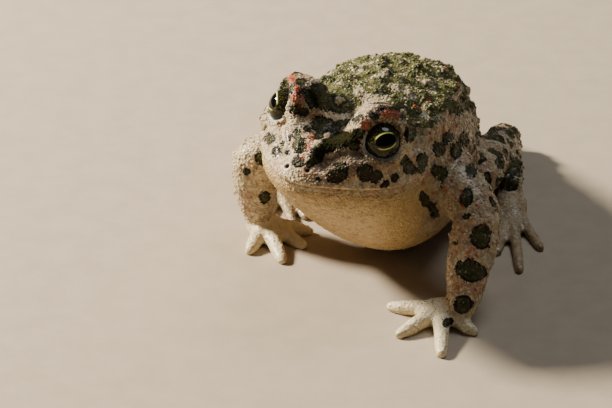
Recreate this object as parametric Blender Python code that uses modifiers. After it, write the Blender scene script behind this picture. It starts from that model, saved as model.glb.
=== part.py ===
"""A life-size European green toad, sitting up on its forelimbs with its head turned to its right.

Everything is worked out in millimetres, with the toad facing -Y, its left side at +X and the
ground at Z = 0, and is scaled to metres at the end. Head, jaw and trunk are first made straight
and symmetric, and are then bent sideways along the spine.
"""

import math
import random

import bmesh
import bpy
from mathutils import Matrix, Vector
from mathutils.bvhtree import BVHTree

MM = 0.001

# Driving dimensions, in millimetres
EYE_RADIUS = 3.1
NODE_GAP = 0.3
WELD = 0.002

# How the straight body is bent: turns in degrees, distances along the spine from mid trunk
HEAD_TURN = -29.5
HEAD_ROLL = 2.6
ROLL_HEIGHT = 23.0
NECK_BEND = (-17.0, -1.5)
PELVIS_TURN = 10.0
PELVIS_BEND = (-12.0, 8.0)

# Sections of head and trunk from snout to vent: distance along the spine, top, bottom, half width
BODY_SECTIONS = (
    (-34.6, 22.8, 20.6, 1.2),
    (-34.0, 23.4, 19.8, 2.6),
    (-32.4, 24.6, 18.2, 4.4),
    (-30.2, 26.2, 15.8, 7.2),
    (-27.6, 27.3, 13.0, 9.3),
    (-24.5, 27.7, 10.0, 10.6),
    (-21.0, 27.6, 6.6, 11.0),
    (-17.0, 27.3, 3.4, 10.8),
    (-12.0, 27.0, 1.5, 10.7),
    (-5.0, 25.9, 0.6, 11.4),
    (2.0, 23.6, 0.1, 11.4),
    (9.0, 19.7, -0.2, 11.5),
    (15.5, 15.6, -0.4, 10.9),
    (21.0, 11.8, 0.2, 9.2),
    (25.2, 8.9, 1.4, 6.4),
    (28.4, 6.4, 3.2, 3.2),
)
BODY_SIDES = 18
BACK_FULLNESS = 2.6
BELLY_FULLNESS = 2.6
JAW_FULLNESS = 1.9
JAW_SPAN = (-24.0, -15.0)
BELLY_LOW = 0.45

# Face, in the straight body's own coordinates
EYE_CENTRE = Vector((6.9, -24.1, 25.7))
EYE_AZIMUTH = 47.0
EYE_ELEVATION = 30.0
LID_THICKNESS = 0.8
LID_PLANE = 1.8
LID_OPENING = 2.6
LID_FLARE = 42.0
BROW_RISE = Vector((-0.6, 0.5, 0.95))
BROW_RADIUS = 3.8
CORNEA_BULGE = 0.5
CORNEA_EDGE = 0.55
NOSTRIL = Vector((1.65, -34.0, 23.5))
NOSTRIL_RADIUS = 0.5
EAR_CENTRE = Vector((9.8, -20.1, 23.7))
EAR_RADIUS = 1.5
EAR_DEPTH = 0.6
EAR_PROUD = 0.25
EAR_TAPER = 0.94
EAR_AIM = Vector((0.86, 0.12, 0.42))
MOUTH_FRONT = Vector((0.0, -34.0, 21.6))
MOUTH_SLOPE = 9.9
NECK_CUT = Vector((0.0, -16.8, 20.0))
NECK_LEAN = 3.0
LIP_RISE = 0.55
LIP_SWELL = 0.28
CROWN_DIP = 1.7
CROWN_SPAN = (-29.0, -19.0)
CROWN_WIDTH = 0.5

# Ridge from nostril to brow
RIDGE_FRONT = Vector((2.3, -31.9, 23.5))
RIDGE_BACK = Vector((5.2, -26.8, 25.9))
RIDGE_RADII = (1.0, 1.4, 1.7)

# Parotoid glands
GLAND_CENTRE = Vector((7.3, -11.0, 23.2))
GLAND_RADII = Vector((2.5, 6.0, 2.0))
GLAND_ROLL = 42.0
GLAND_SPLAY = 6.0

# Warts: how many a piece carries, and the radii they are drawn from
WART_COUNTS = {
    "torso": 50,
    "thigh_left": 5,
    "thigh_right": 5,
    "shank_left": 6,
    "shank_right": 6,
    "forearm_left": 4,
    "forearm_right": 3,
}
WART_RADII = (0.65, 1.25)
LIMB_WART_RADII = (0.45, 0.75)
WART_SPACE = 0.55
WART_HEIGHT = 0.62
WART_FACING = -0.1
WART_SIDES = 7
WART_ROWS = 6
WART_TRIES = 40
WART_SEED = 11

# Limbs: joint places in the bent toad, and the radii of each segment from end to end
LEFT_ARM = (
    Vector((5.2, -10.1, 15.0)),
    Vector((12.6, -21.1, 12.2)),
    Vector((10.9, -29.9, 2.7)),
)
RIGHT_ARM = (
    Vector((-8.8, -5.1, 15.0)),
    Vector((-19.1, -9.3, 12.2)),
    Vector((-18.6, -7.6, 3.0)),
)
UPPER_ARM_RADII = (4.4, 3.7, 3.1)
FOREARM_RADII = (3.0, 3.05, 2.0)
LEFT_LEG = (
    Vector((5.2, 17.4, 6.2)),
    Vector((12.2, -2.6, 7.1)),
    Vector((15.9, 17.4, 2.9)),
    Vector((16.9, 3.9, 2.1)),
)
RIGHT_LEG = (
    Vector((-10.4, 17.4, 6.4)),
    Vector((-14.8, 1.0, 8.8)),
    Vector((-18.2, 21.4, 3.0)),
    Vector((-17.8, 9.6, 2.1)),
)
THIGH_RADII = (5.0, 4.3, 3.0)
SHANK_RADII = (2.9, 2.9, 2.1)
TARSUS_RADII = (2.2, 1.9, 1.8)
LIMB_SIDES = 8
LIMB_CAP = ((0.6, 0.8), (0.9, 0.35))

# Palms and soles: centre on the ground, heading in degrees from straight ahead towards the toad's
# right. Digits: heading and reach from that centre.
LEFT_PALM = (Vector((8.1, -29.5, 0.0)), 84.0)
LEFT_FINGERS = ((107.0, 7.8), (49.0, 7.8), (-2.0, 9.8), (-52.0, 6.2))
RIGHT_PALM = (Vector((-17.5, -8.1, 0.0)), -40.0)
RIGHT_FINGERS = ((-92.0, 6.6), (-56.0, 7.2), (-20.0, 9.0), (18.0, 6.6))
FINGER_RADII = (1.1, 0.95, 0.6)
PALM_RADII = Vector((2.6, 3.3, 1.6))
LEFT_SOLE = (Vector((17.1, 0.7, 0.0)), -4.0)
LEFT_TOES = ((40.0, 7.6), (24.0, 9.6), (8.0, 13.0), (-5.0, 17.5), (-22.0, 12.0))
RIGHT_SOLE = (Vector((-17.2, 6.6, 0.0)), -8.0)
RIGHT_TOES = ((-50.0, 7.4), (-38.0, 9.2), (-26.0, 12.0), (-15.0, 13.6), (0.0, 10.0))
TOE_RADII = (0.95, 0.7, 0.5)
SOLE_RADII = Vector((2.2, 4.8, 1.4))
WEB_AHEAD = 4.4
WEB_RADII = Vector((3.3, 4.4, 0.62))
DIGIT_SIDES = 8
PAD_RISE = 0.72
KNUCKLE_SHARE = 0.2


def smooth_step(value, low, high):
    share = min(1.0, max(0.0, (value - low) / (high - low)))
    return share * share * (3 - 2 * share)


def spine_heading(along):
    """The sideways turn of the spine, in radians, at a distance along it."""
    neck = math.radians(HEAD_TURN) * (1 - smooth_step(along, *NECK_BEND))
    pelvis = math.radians(PELVIS_TURN) * smooth_step(along, *PELVIS_BEND)
    return neck + pelvis


def rolled(point):
    """Tilts the head about its length, its left side down, by less and less along the neck."""
    angle = math.radians(HEAD_ROLL) * (1 - smooth_step(point.y, *NECK_BEND))
    across, rise = point.x, point.z - ROLL_HEIGHT
    side = across * math.cos(angle) + rise * math.sin(angle)
    return Vector((side, point.y, ROLL_HEIGHT + rise * math.cos(angle) - across * math.sin(angle)))


def spine_place(point, steps=24):
    """Carries a point of the straight body to its place in the bent one."""
    step = point.y / steps
    x = y = 0.0
    for count in range(steps):
        heading = spine_heading((count + 0.5) * step)
        x -= math.sin(heading) * step
        y += math.cos(heading) * step
    heading = spine_heading(point.y)
    return Vector((x + math.cos(heading) * point.x, y + math.sin(heading) * point.x, point.z))


def collection(name):
    made = bpy.data.collections.new(name)
    bpy.context.scene.collection.children.link(made)
    return made


def skin_material(name, colour, roughness):
    material = bpy.data.materials.new(name)
    material.use_nodes = True
    shader = material.node_tree.nodes["Principled BSDF"]
    shader.inputs["Base Color"].default_value = (*colour, 1.0)
    shader.inputs["Roughness"].default_value = roughness
    shader.inputs["Metallic"].default_value = 0.0
    return material


def mesh_object(name, bm, home):
    mesh = bpy.data.meshes.new(name)
    bmesh.ops.recalc_face_normals(bm, faces=bm.faces)
    bm.to_mesh(mesh)
    bm.free()
    made = bpy.data.objects.new(name, mesh)
    home.objects.link(made)
    return made


def loft(name, rings, home, levels):
    """Skins closed rings of equally many points, with a point at each end, and subdivides it."""
    bm = bmesh.new()
    loops = [[bm.verts.new(point) for point in ring] for ring in rings]
    for first, second in zip(loops, loops[1:]):
        for index in range(len(first)):
            after = (index + 1) % len(first)
            bm.faces.new((first[index], first[after], second[after], second[index]))
    for loop in (loops[0], loops[-1]):
        cap = bm.faces.new(loop)
        bmesh.ops.poke(bm, faces=[cap])
    made = mesh_object(name, bm, home)
    if levels:
        subdivide = made.modifiers.new("Smooth", "SUBSURF")
        subdivide.levels = subdivide.render_levels = levels
        settle(made)
    return made


def settle(made):
    """Replaces the object's mesh by its evaluated one, with no modifier left."""
    graph = bpy.context.evaluated_depsgraph_get()
    mesh = bpy.data.meshes.new_from_object(made.evaluated_get(graph))
    old = made.data
    made.modifiers.clear()
    made.data = mesh
    mesh.name = made.name
    bpy.data.meshes.remove(old)


def ring_gain(sides):
    """How much a subdivided ring shrinks, undone by this factor."""
    return 3.0 / (2.0 + math.cos(2 * math.pi / sides))


def body_ring(along, top, bottom, half_width):
    centre = bottom + BELLY_LOW * (top - bottom)
    below = JAW_FULLNESS + (BELLY_FULLNESS - JAW_FULLNESS) * smooth_step(along, *JAW_SPAN)
    gain = ring_gain(BODY_SIDES)
    ring = []
    for count in range(BODY_SIDES):
        angle = 2 * math.pi * (count + 0.5) / BODY_SIDES
        side, rise = math.sin(angle), math.cos(angle)
        fullness = BACK_FULLNESS if rise > 0 else below
        reach = (abs(side) ** fullness + abs(rise) ** fullness) ** (-1 / fullness)
        height = top - centre if rise > 0 else centre - bottom
        dip = 0.0
        if rise > 0 and CROWN_SPAN[0] < along < CROWN_SPAN[1]:
            dip = CROWN_DIP * max(0.0, 1 - abs(side) / CROWN_WIDTH)
        out = half_width * reach * side * gain
        ring.append(Vector((out, along, centre + height * reach * rise * gain - dip)))
    return ring


def straight_body(home):
    rings = [body_ring(*section) for section in BODY_SECTIONS]
    return loft("body", rings, home, 1)


def ball(name, centre, radii, home, segments=20, rows=14, turn=None):
    bm = bmesh.new()
    bmesh.ops.create_uvsphere(bm, u_segments=segments, v_segments=rows, radius=1.0)
    place = Matrix.Translation(centre) @ (turn or Matrix.Identity(4)) @ Matrix.Diagonal((*radii, 1.0))
    bmesh.ops.transform(bm, matrix=place, verts=bm.verts)
    return mesh_object(name, bm, home)


def rod(name, start, end, start_radius, end_radius, home, sides=24):
    """A cylinder or cone from one point to another."""
    axis = end - start
    bm = bmesh.new()
    bmesh.ops.create_cone(
        bm, cap_ends=True, segments=sides, radius1=start_radius, radius2=end_radius, depth=axis.length
    )
    place = Matrix.Translation((start + end) / 2) @ axis.to_track_quat("Z", "Y").to_matrix().to_4x4()
    bmesh.ops.transform(bm, matrix=place, verts=bm.verts)
    return mesh_object(name, bm, home)


def capsule(name, start, end, radii, home, sides):
    """A limb segment: three radii along its length, and rounded ends centred on its joints."""
    axis = end - start
    length = axis.length
    turn = axis.to_track_quat("Z", "Y").to_matrix()
    stations = [(-reach * radii[0], share * radii[0]) for reach, share in reversed(LIMB_CAP)]
    stations += [(0.0, radii[0]), (0.5 * length, radii[1]), (length, radii[2])]
    stations += [(length + reach * radii[2], share * radii[2]) for reach, share in LIMB_CAP]
    gain = ring_gain(sides)
    rings = []
    for distance, radius in stations:
        ring = []
        for count in range(sides):
            angle = 2 * math.pi * count / sides
            offset = Vector((math.cos(angle), math.sin(angle), 0.0)) * radius * gain
            ring.append(start + turn @ (offset + Vector((0, 0, distance))))
        rings.append(ring)
    return loft(name, rings, home, 1)


def digit(name, path, radii, home):
    """A finger or toe: a tapered tube through its joints, with a rounded tip."""
    rings = []
    for index, (point, radius) in enumerate(zip(path, radii)):
        before = path[max(0, index - 1)]
        after = path[min(len(path) - 1, index + 1)]
        turn = (after - before).to_track_quat("Z", "Y").to_matrix()
        rings.append(
            [
                point
                + turn @ Vector((math.cos(a) * radius, math.sin(a) * radius, 0.0))
                for a in (2 * math.pi * count / DIGIT_SIDES for count in range(DIGIT_SIDES))
            ]
        )
    return loft(name, rings, home, 0)


def combine(target, other, operation):
    """Applies one Boolean to the target and removes the other object."""
    cut = target.modifiers.new("Combine", "BOOLEAN")
    cut.operation = operation
    cut.solver = "EXACT"
    cut.object = other
    settle(target)
    bpy.data.objects.remove(other)


def fuse(target, others, home):
    """One union of the target with every object of a collection, which is then removed."""
    pieces = bpy.data.collections.new("pieces")
    bpy.context.scene.collection.children.link(pieces)
    for other in others:
        home.objects.unlink(other)
        pieces.objects.link(other)
    join = target.modifiers.new("Join", "BOOLEAN")
    join.operation = "UNION"
    join.operand_type = "COLLECTION"
    join.collection = pieces
    join.solver = "EXACT"
    settle(target)
    for other in list(pieces.objects):
        bpy.data.objects.remove(other)
    bpy.data.collections.remove(pieces)


def clip(made, point, normal):
    """Cuts away what lies on the normal's side of a plane, and closes the cut."""
    bm = bmesh.new()
    bm.from_mesh(made.data)
    faces = bm.verts[:] + bm.edges[:] + bm.faces[:]
    cut = bmesh.ops.bisect_plane(bm, geom=faces, plane_co=point, plane_no=normal, clear_outer=True)
    rim = [piece for piece in cut["geom_cut"] if isinstance(piece, bmesh.types.BMEdge)]
    if rim:
        bmesh.ops.holes_fill(bm, edges=rim)
    bmesh.ops.triangulate(bm, faces=[face for face in bm.faces if len(face.verts) > 4])
    bm.to_mesh(made.data)
    bm.free()


def largest_piece(made):
    """Keeps only the largest closed surface of an object's mesh."""
    bm = bmesh.new()
    bm.from_mesh(made.data)
    left = set(bm.verts)
    pieces = []
    while left:
        seed = left.pop()
        piece = {seed}
        front = [seed]
        while front:
            vert = front.pop()
            for edge in vert.link_edges:
                other = edge.other_vert(vert)
                if other not in piece:
                    piece.add(other)
                    front.append(other)
        left -= piece
        pieces.append(piece)
    pieces.sort(key=len)
    loose = [vert for piece in pieces[:-1] for vert in piece]
    bmesh.ops.delete(bm, geom=loose, context="VERTS")
    bm.to_mesh(made.data)
    bm.free()


def tidy_mesh(made):
    """Welds stray double points that a cut left behind."""
    bm = bmesh.new()
    bm.from_mesh(made.data)
    bmesh.ops.remove_doubles(bm, verts=bm.verts, dist=WELD)
    bmesh.ops.dissolve_degenerate(bm, edges=bm.edges, dist=WELD)
    bmesh.ops.triangulate(bm, faces=[face for face in bm.faces if len(face.verts) > 4])
    bm.to_mesh(made.data)
    bm.free()


def swollen(made, home, distance):
    """A copy whose skin stands a little further out, used as a cutter."""
    mesh = made.data.copy()
    copy = bpy.data.objects.new(made.name + "_swollen", mesh)
    home.objects.link(copy)
    normals = [vert.normal.copy() for vert in mesh.vertices]
    for vert, normal in zip(mesh.vertices, normals):
        vert.co += normal * distance
    return copy


def touches(first, second):
    return bool(surface_tree(first).overlap(surface_tree(second)))


def trim(later, earlier, home):
    """Cuts a piece back from a neighbour that it runs into, leaving the gap between nodes."""
    if touches(later, earlier):
        combine(later, swollen(earlier, home, NODE_GAP), "DIFFERENCE")
        largest_piece(later)


def bend(made):
    for vert in made.data.vertices:
        vert.co = spine_place(rolled(vert.co))


def on_side(point, side):
    return Vector((point.x * side, point.y, point.z))


def eye_axis(side):
    azimuth, elevation = math.radians(EYE_AZIMUTH), math.radians(EYE_ELEVATION)
    return Vector(
        (
            side * math.sin(azimuth) * math.cos(elevation),
            -math.cos(azimuth) * math.cos(elevation),
            math.sin(elevation),
        )
    )


def eyeball(name, side, home):
    """The eye: a sphere with the cornea's low dome at its front."""
    centre = on_side(EYE_CENTRE, side)
    made = ball(name, centre, Vector((EYE_RADIUS,) * 3), home, 16, 10)
    axis = eye_axis(side)
    for vert in made.data.vertices:
        out = vert.co - centre
        facing = out.normalized().dot(axis)
        vert.co += axis * CORNEA_BULGE * smooth_step(facing, CORNEA_EDGE, 1.0)
    return made


def lidded_head(head, home):
    """Adds the domed lids, then opens each to show the eye and cuts its socket."""
    lid_radius = EYE_RADIUS + LID_THICKNESS
    domes = []
    for side in (1, -1):
        domes.append(ball("lid", on_side(EYE_CENTRE, side), Vector((lid_radius,) * 3), home, 18, 12))
        brow = on_side(EYE_CENTRE + BROW_RISE, side)
        domes.append(ball("brow", brow, Vector((BROW_RADIUS,) * 3), home, 18, 12))
    fuse(head, domes, home)
    for side in (1, -1):
        centre = on_side(EYE_CENTRE, side)
        socket = ball("socket", centre, Vector((EYE_RADIUS + NODE_GAP,) * 3), home, 18, 12)
        combine(head, socket, "DIFFERENCE")
        start = centre + eye_axis(side) * LID_PLANE
        reach = 2 * EYE_RADIUS
        wide = LID_OPENING + reach * math.tan(math.radians(LID_FLARE))
        opening = rod("opening", start, start + eye_axis(side) * reach, LID_OPENING, wide, home)
        combine(head, opening, "DIFFERENCE")


def swell_lip(head, mouth_normal):
    """Cuts two loops just above the mouth and pushes the lower one out as the lip."""
    bm = bmesh.new()
    bm.from_mesh(head.data)
    for rise in (LIP_RISE, 2 * LIP_RISE):
        every = bm.verts[:] + bm.edges[:] + bm.faces[:]
        place = MOUTH_FRONT + mouth_normal * (NODE_GAP / 2 + rise)
        bmesh.ops.bisect_plane(bm, geom=every, plane_co=place, plane_no=mouth_normal)
    bm.normal_update()
    for vert in bm.verts:
        above = (vert.co - MOUTH_FRONT).dot(mouth_normal) - NODE_GAP / 2
        if abs(above - LIP_RISE) < WELD and vert.co.y < NECK_CUT.y - 1:
            outward = Vector((vert.normal.x, vert.normal.y, 0.0))
            if outward.length > 0.3:
                vert.co += outward.normalized() * LIP_SWELL
    bm.to_mesh(head.data)
    bm.free()


def ear(name, side, home, radius, depth):
    centre = on_side(EAR_CENTRE, side)
    aim = on_side(EAR_AIM, side).normalized()
    return rod(name, centre - aim * depth, centre + aim * EAR_PROUD, radius, radius * EAR_TAPER, home, 20)


def head_parts(home):
    """Trunk, head and lower jaw cut from one straight body, then bent."""
    torso = straight_body(home)
    torso.name = "torso"
    head = bpy.data.objects.new("head", torso.data.copy())
    home.objects.link(head)
    lean = math.radians(NECK_LEAN)
    neck_normal = Vector((0.0, math.cos(lean), math.sin(lean)))
    clip(torso, NECK_CUT + neck_normal * NODE_GAP / 2, -neck_normal)
    clip(head, NECK_CUT - neck_normal * NODE_GAP / 2, neck_normal)
    jaw = bpy.data.objects.new("lower_jaw", head.data.copy())
    home.objects.link(jaw)
    slope = math.radians(MOUTH_SLOPE)
    mouth_normal = Vector((0.0, math.sin(slope), math.cos(slope)))
    clip(head, MOUTH_FRONT + mouth_normal * NODE_GAP / 2, -mouth_normal)
    clip(jaw, MOUTH_FRONT - mouth_normal * NODE_GAP / 2, mouth_normal)
    swell_lip(head, mouth_normal)
    ridges = [
        capsule("ridge", on_side(RIDGE_FRONT, side), on_side(RIDGE_BACK, side), RIDGE_RADII, home, 6)
        for side in (1, -1)
    ]
    fuse(head, ridges, home)
    lidded_head(head, home)
    for side in (1, -1):
        pocket = ear("pocket", side, home, EAR_RADIUS + NODE_GAP, EAR_DEPTH + NODE_GAP)
        combine(head, pocket, "DIFFERENCE")
        pit = ball("nostril", on_side(NOSTRIL, side), Vector((NOSTRIL_RADIUS,) * 3), home, 10, 8)
        combine(head, pit, "DIFFERENCE")
    glands = []
    for side in (1, -1):
        turn = Matrix.Rotation(math.radians(side * GLAND_SPLAY), 4, "Z")
        turn = turn @ Matrix.Rotation(math.radians(side * GLAND_ROLL), 4, "Y")
        glands.append(ball("gland", on_side(GLAND_CENTRE, side), GLAND_RADII, home, 16, 12, turn))
    fuse(torso, glands, home)
    largest_piece(head)
    made = [head, jaw, torso]
    for label, side in (("left", 1), ("right", -1)):
        made.append(eyeball(f"eye_{label}", side, home))
        made.append(ear(f"ear_{label}", side, home, EAR_RADIUS, EAR_DEPTH))
    trim(torso, head, home)
    for piece in made:
        bend(piece)
    return made


def mitre(before, joint, after):
    """The normal of the plane that parts two segments at their joint, pointing to the second."""
    return ((joint - before).normalized() + (after - joint).normalized()).normalized()


def limb(names, joints, radii, home):
    """The segments of a limb, parted at its joints."""
    made = []
    for index, name in enumerate(names):
        made.append(
            capsule(name, joints[index], joints[index + 1], radii[index], home, LIMB_SIDES)
        )
    for index in range(1, len(names)):
        normal = mitre(joints[index - 1], joints[index], joints[index + 1])
        clip(made[index - 1], joints[index] - normal * NODE_GAP / 2, normal)
        clip(made[index], joints[index] + normal * NODE_GAP / 2, -normal)
    return made


def heading_vector(degrees):
    """A level direction, in degrees from straight ahead towards the toad's right."""
    angle = math.radians(degrees)
    return Vector((-math.sin(angle), -math.cos(angle), 0.0))


def paw(name, palm, digits, radii, pad, home, webbed=False):
    """A hand or foot: a low pad with its digits laid on the ground, and a thin web where it has one."""
    centre, heading = palm
    turn = Matrix.Rotation(math.radians(-heading), 4, "Z")
    made = ball(name, centre + Vector((0, 0, pad.z * PAD_RISE)), pad, home, 14, 8, turn)
    ends = []
    for angle, reach in digits:
        out = heading_vector(angle)
        base = centre + out * pad.x * 0.4
        knuckle = centre + out * (pad.x + (reach - pad.x) * KNUCKLE_SHARE)
        tip = centre + out * (reach - radii[2] * 0.8)
        heights = (radii[0] * 1.1, radii[0] * 1.0, radii[2] * 1.0, radii[2] * 0.75, radii[2] * 0.75)
        spots = (base, knuckle, knuckle.lerp(tip, 0.6), tip, tip + out * radii[2] * 0.8)
        path = [Vector((spot.x, spot.y, high)) for spot, high in zip(spots, heights)]
        sizes = (radii[0], radii[1], radii[1] * 0.9, radii[2], radii[2] * 0.45)
        ends.append(digit("digit", path, sizes, home))
    if webbed:
        middle = sum(angle for angle, reach in digits) / len(digits)
        web = centre + heading_vector(middle) * WEB_AHEAD + Vector((0, 0, WEB_RADII.z))
        turn = Matrix.Rotation(math.radians(-middle), 4, "Z")
        ends.append(ball("web", web, WEB_RADII, home, 14, 6, turn))
    fuse(made, ends, home)
    clip(made, Vector((0, 0, 0)), Vector((0, 0, -1)))
    return made


def surface_tree(made):
    bm = bmesh.new()
    bm.from_mesh(made.data)
    tree = BVHTree.FromBMesh(bm)
    bm.free()
    return tree


def add_warts(piece, count, radii, neighbours, home, draw):
    """Sets low round warts on the upper skin of a piece, clear of each other and of its neighbours."""
    bm = bmesh.new()
    bm.from_mesh(piece.data)
    bmesh.ops.triangulate(bm, faces=bm.faces)
    bm.normal_update()
    faces = [face for face in bm.faces if face.normal.z > WART_FACING]
    areas = [face.calc_area() for face in faces]
    placed = []
    for attempt in range(count * WART_TRIES):
        if len(placed) == count:
            break
        face = draw.choices(faces, areas)[0]
        first, second = draw.random(), draw.random()
        if first + second > 1:
            first, second = 1 - first, 1 - second
        corners = [vert.co for vert in face.verts]
        spot = corners[0] + (corners[1] - corners[0]) * first + (corners[2] - corners[0]) * second
        radius = draw.uniform(*radii)
        clear = all((spot - other).length > radius + reach + WART_SPACE for other, reach, _ in placed)
        apart = all(tree.find_nearest(spot)[3] > radius + 2 * NODE_GAP for tree in neighbours)
        if clear and apart:
            placed.append((spot, radius, face.normal.copy()))
    bm.free()
    warts = []
    for spot, radius, normal in placed:
        turn = normal.to_track_quat("Z", "Y").to_matrix().to_4x4()
        size = Vector((radius, radius, radius * WART_HEIGHT))
        warts.append(ball("wart", spot, size, home, WART_SIDES, WART_ROWS, turn))
    fuse(piece, warts, home)
    largest_piece(piece)


def build():
    for old in list(bpy.data.objects):
        bpy.data.objects.remove(old)
    home = collection("green_toad")
    skin = skin_material("toad_skin", (0.52, 0.46, 0.36), 0.62)
    belly = skin_material("toad_belly", (0.72, 0.62, 0.44), 0.6)
    iris = skin_material("toad_iris", (0.05, 0.05, 0.03), 0.12)

    axial = head_parts(home)
    head, jaw, torso = axial[:3]
    limbs = []
    for label, arm, palm, fingers, leg, sole, toes in (
        ("left", LEFT_ARM, LEFT_PALM, LEFT_FINGERS, LEFT_LEG, LEFT_SOLE, LEFT_TOES),
        ("right", RIGHT_ARM, RIGHT_PALM, RIGHT_FINGERS, RIGHT_LEG, RIGHT_SOLE, RIGHT_TOES),
    ):
        arm_names = [f"{name}_{label}" for name in ("upper_arm", "forearm")]
        leg_names = [f"{name}_{label}" for name in ("thigh", "shank", "tarsus")]
        hand = paw(f"hand_{label}", palm, fingers, FINGER_RADII, PALM_RADII, home)
        foot = paw(f"foot_{label}", sole, toes, TOE_RADII, SOLE_RADII, home, webbed=True)
        limbs += [hand, foot]
        limbs += limb(arm_names, arm, (UPPER_ARM_RADII, FOREARM_RADII), home)
        limbs += limb(leg_names, leg, (THIGH_RADII, SHANK_RADII, TARSUS_RADII), home)
    for piece in [torso, jaw] + limbs:
        clip(piece, Vector((0, 0, 0)), Vector((0, 0, -1)))
    done = [head, jaw, torso]
    for piece in limbs:
        for earlier in done:
            trim(piece, earlier, home)
        done.append(piece)

    draw = random.Random(WART_SEED)
    for name, count in WART_COUNTS.items():
        piece = home.objects[name]
        neighbours = [surface_tree(other) for other in home.objects if other != piece]
        radii = WART_RADII if name == "torso" else LIMB_WART_RADII
        add_warts(piece, count, radii, neighbours, home, draw)
    for piece in home.objects:
        tidy_mesh(piece)
    corners = [vert.co for piece in home.objects for vert in piece.data.vertices]
    low, high = [
        Vector([pick(corner[axis] for corner in corners) for axis in range(3)]) for pick in (min, max)
    ]
    middle = Vector(((low.x + high.x) / 2, (low.y + high.y) / 2, 0.0))
    for piece in home.objects:
        look = iris if piece.name.startswith("eye") else skin
        if piece.name == "lower_jaw":
            look = belly
        piece.data.materials.clear()
        piece.data.materials.append(look)
        piece.data.transform(Matrix.Scale(MM, 4) @ Matrix.Translation(-middle))
        piece.data.shade_smooth()
        piece.data.set_sharp_from_angle(angle=math.radians(40))


build()
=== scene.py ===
# %% [markdown]
# The toad sits on a plain floor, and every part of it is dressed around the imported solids.
# The solids give the true outline, so the skin is grown from them and nothing is moved.
# Places on the animal are in millimetres and are turned into metres where they meet the mesh.
# The numbers at the top of each cell are its settings.

# %% Load the frame
import math
import random

import bmesh
import bpy
import numpy as np
from mathutils import Matrix, Vector, noise
from mathutils.bvhtree import BVHTree


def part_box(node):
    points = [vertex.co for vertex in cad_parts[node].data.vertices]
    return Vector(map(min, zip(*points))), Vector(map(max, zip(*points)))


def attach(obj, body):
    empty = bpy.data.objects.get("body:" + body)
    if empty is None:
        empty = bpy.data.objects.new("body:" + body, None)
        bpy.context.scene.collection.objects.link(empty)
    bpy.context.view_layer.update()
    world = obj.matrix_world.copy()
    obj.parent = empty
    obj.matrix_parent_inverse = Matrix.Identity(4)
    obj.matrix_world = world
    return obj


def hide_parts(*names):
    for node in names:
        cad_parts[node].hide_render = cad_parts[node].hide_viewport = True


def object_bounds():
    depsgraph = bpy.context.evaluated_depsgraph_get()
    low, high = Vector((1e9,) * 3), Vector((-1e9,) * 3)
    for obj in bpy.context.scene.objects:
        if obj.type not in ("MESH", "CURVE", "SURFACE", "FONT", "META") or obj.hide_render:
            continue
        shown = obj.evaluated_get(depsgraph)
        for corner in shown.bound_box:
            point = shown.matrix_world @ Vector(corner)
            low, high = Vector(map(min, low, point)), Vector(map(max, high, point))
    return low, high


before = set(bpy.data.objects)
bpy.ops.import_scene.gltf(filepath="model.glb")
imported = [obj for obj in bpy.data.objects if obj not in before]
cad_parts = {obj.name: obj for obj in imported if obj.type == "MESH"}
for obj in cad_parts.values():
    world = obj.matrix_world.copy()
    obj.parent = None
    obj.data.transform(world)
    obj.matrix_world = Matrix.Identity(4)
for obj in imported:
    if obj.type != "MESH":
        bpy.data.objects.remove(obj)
cad_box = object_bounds()
MM = 0.001
print("nodes:", len(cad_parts))

# %% [markdown]
# The head is turned away from the trunk, so its own directions are found first. The two eyeballs
# of the solids give them: the line between their centres runs from the toad's right to its left,
# a little downwards as the head is tilted, and the level line square to it points to the snout.
# Each ball is measured at the sides away from the cornea, which bulges.

# %% Find the eyes and the head's own directions
EYE_RADIUS = 3.1 * MM
EYE_AZIMUTH = 47.0
EYE_ELEVATION = 30.0
BALL_RADIUS = 3.05


def eye_centre(side):
    low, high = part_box("eye_left" if side > 0 else "eye_right")
    across = low.x + EYE_RADIUS if side > 0 else high.x - EYE_RADIUS
    return Vector((across, high.y - EYE_RADIUS, low.z + EYE_RADIUS))


EYES = {1: eye_centre(1), -1: eye_centre(-1)}
HEAD_MIDDLE = (EYES[1] + EYES[-1]) / 2
LEFTWARD = (EYES[1] - EYES[-1]).normalized()
FORWARD = Vector((0, 0, -1)).cross(LEFTWARD).normalized()
UPWARD = FORWARD.cross(LEFTWARD)
HEAD_AXES = np.array([LEFTWARD, FORWARD, UPWARD])


def head_point(left, forward, up):
    """A place given in millimetres from between the eyes, in the frame's metres."""
    return HEAD_MIDDLE + (LEFTWARD * left + FORWARD * forward + UPWARD * up) * MM


def head_coordinates(points):
    """Rows of left, forward and up in millimetres from between the eyes."""
    return (points - np.array(HEAD_MIDDLE)) @ HEAD_AXES.T / MM


def eye_axis(side):
    azimuth, elevation = math.radians(EYE_AZIMUTH), math.radians(EYE_ELEVATION)
    level = LEFTWARD * side * math.sin(azimuth) + FORWARD * math.cos(azimuth)
    return (level * math.cos(elevation) + UPWARD * math.sin(elevation)).normalized()


print("eye distance mm:", round((EYES[1] - EYES[-1]).length / MM, 2))
print("head heading:", round(math.degrees(math.atan2(FORWARD.x, -FORWARD.y)), 1))

# %% [markdown]
# The camera looks down at the toad from just beside straight ahead. It is placed so that the
# left eyeball falls on its own pixel of the 612 x 408 picture at its true distance, which ties
# the picture to the solids. The same camera later carries markings from picture to skin.

# %% Camera
PICTURE = (612, 408)
CAMERA_AZIMUTH = 4.0
CAMERA_ELEVATION = 30.0
FOCAL_PIXELS = 3150.0
SENSOR = 36.0
LEFT_EYE_PIXEL = (379.9, 141.1)
LEFT_EYE_DEPTH = 418.78 * MM

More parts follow.
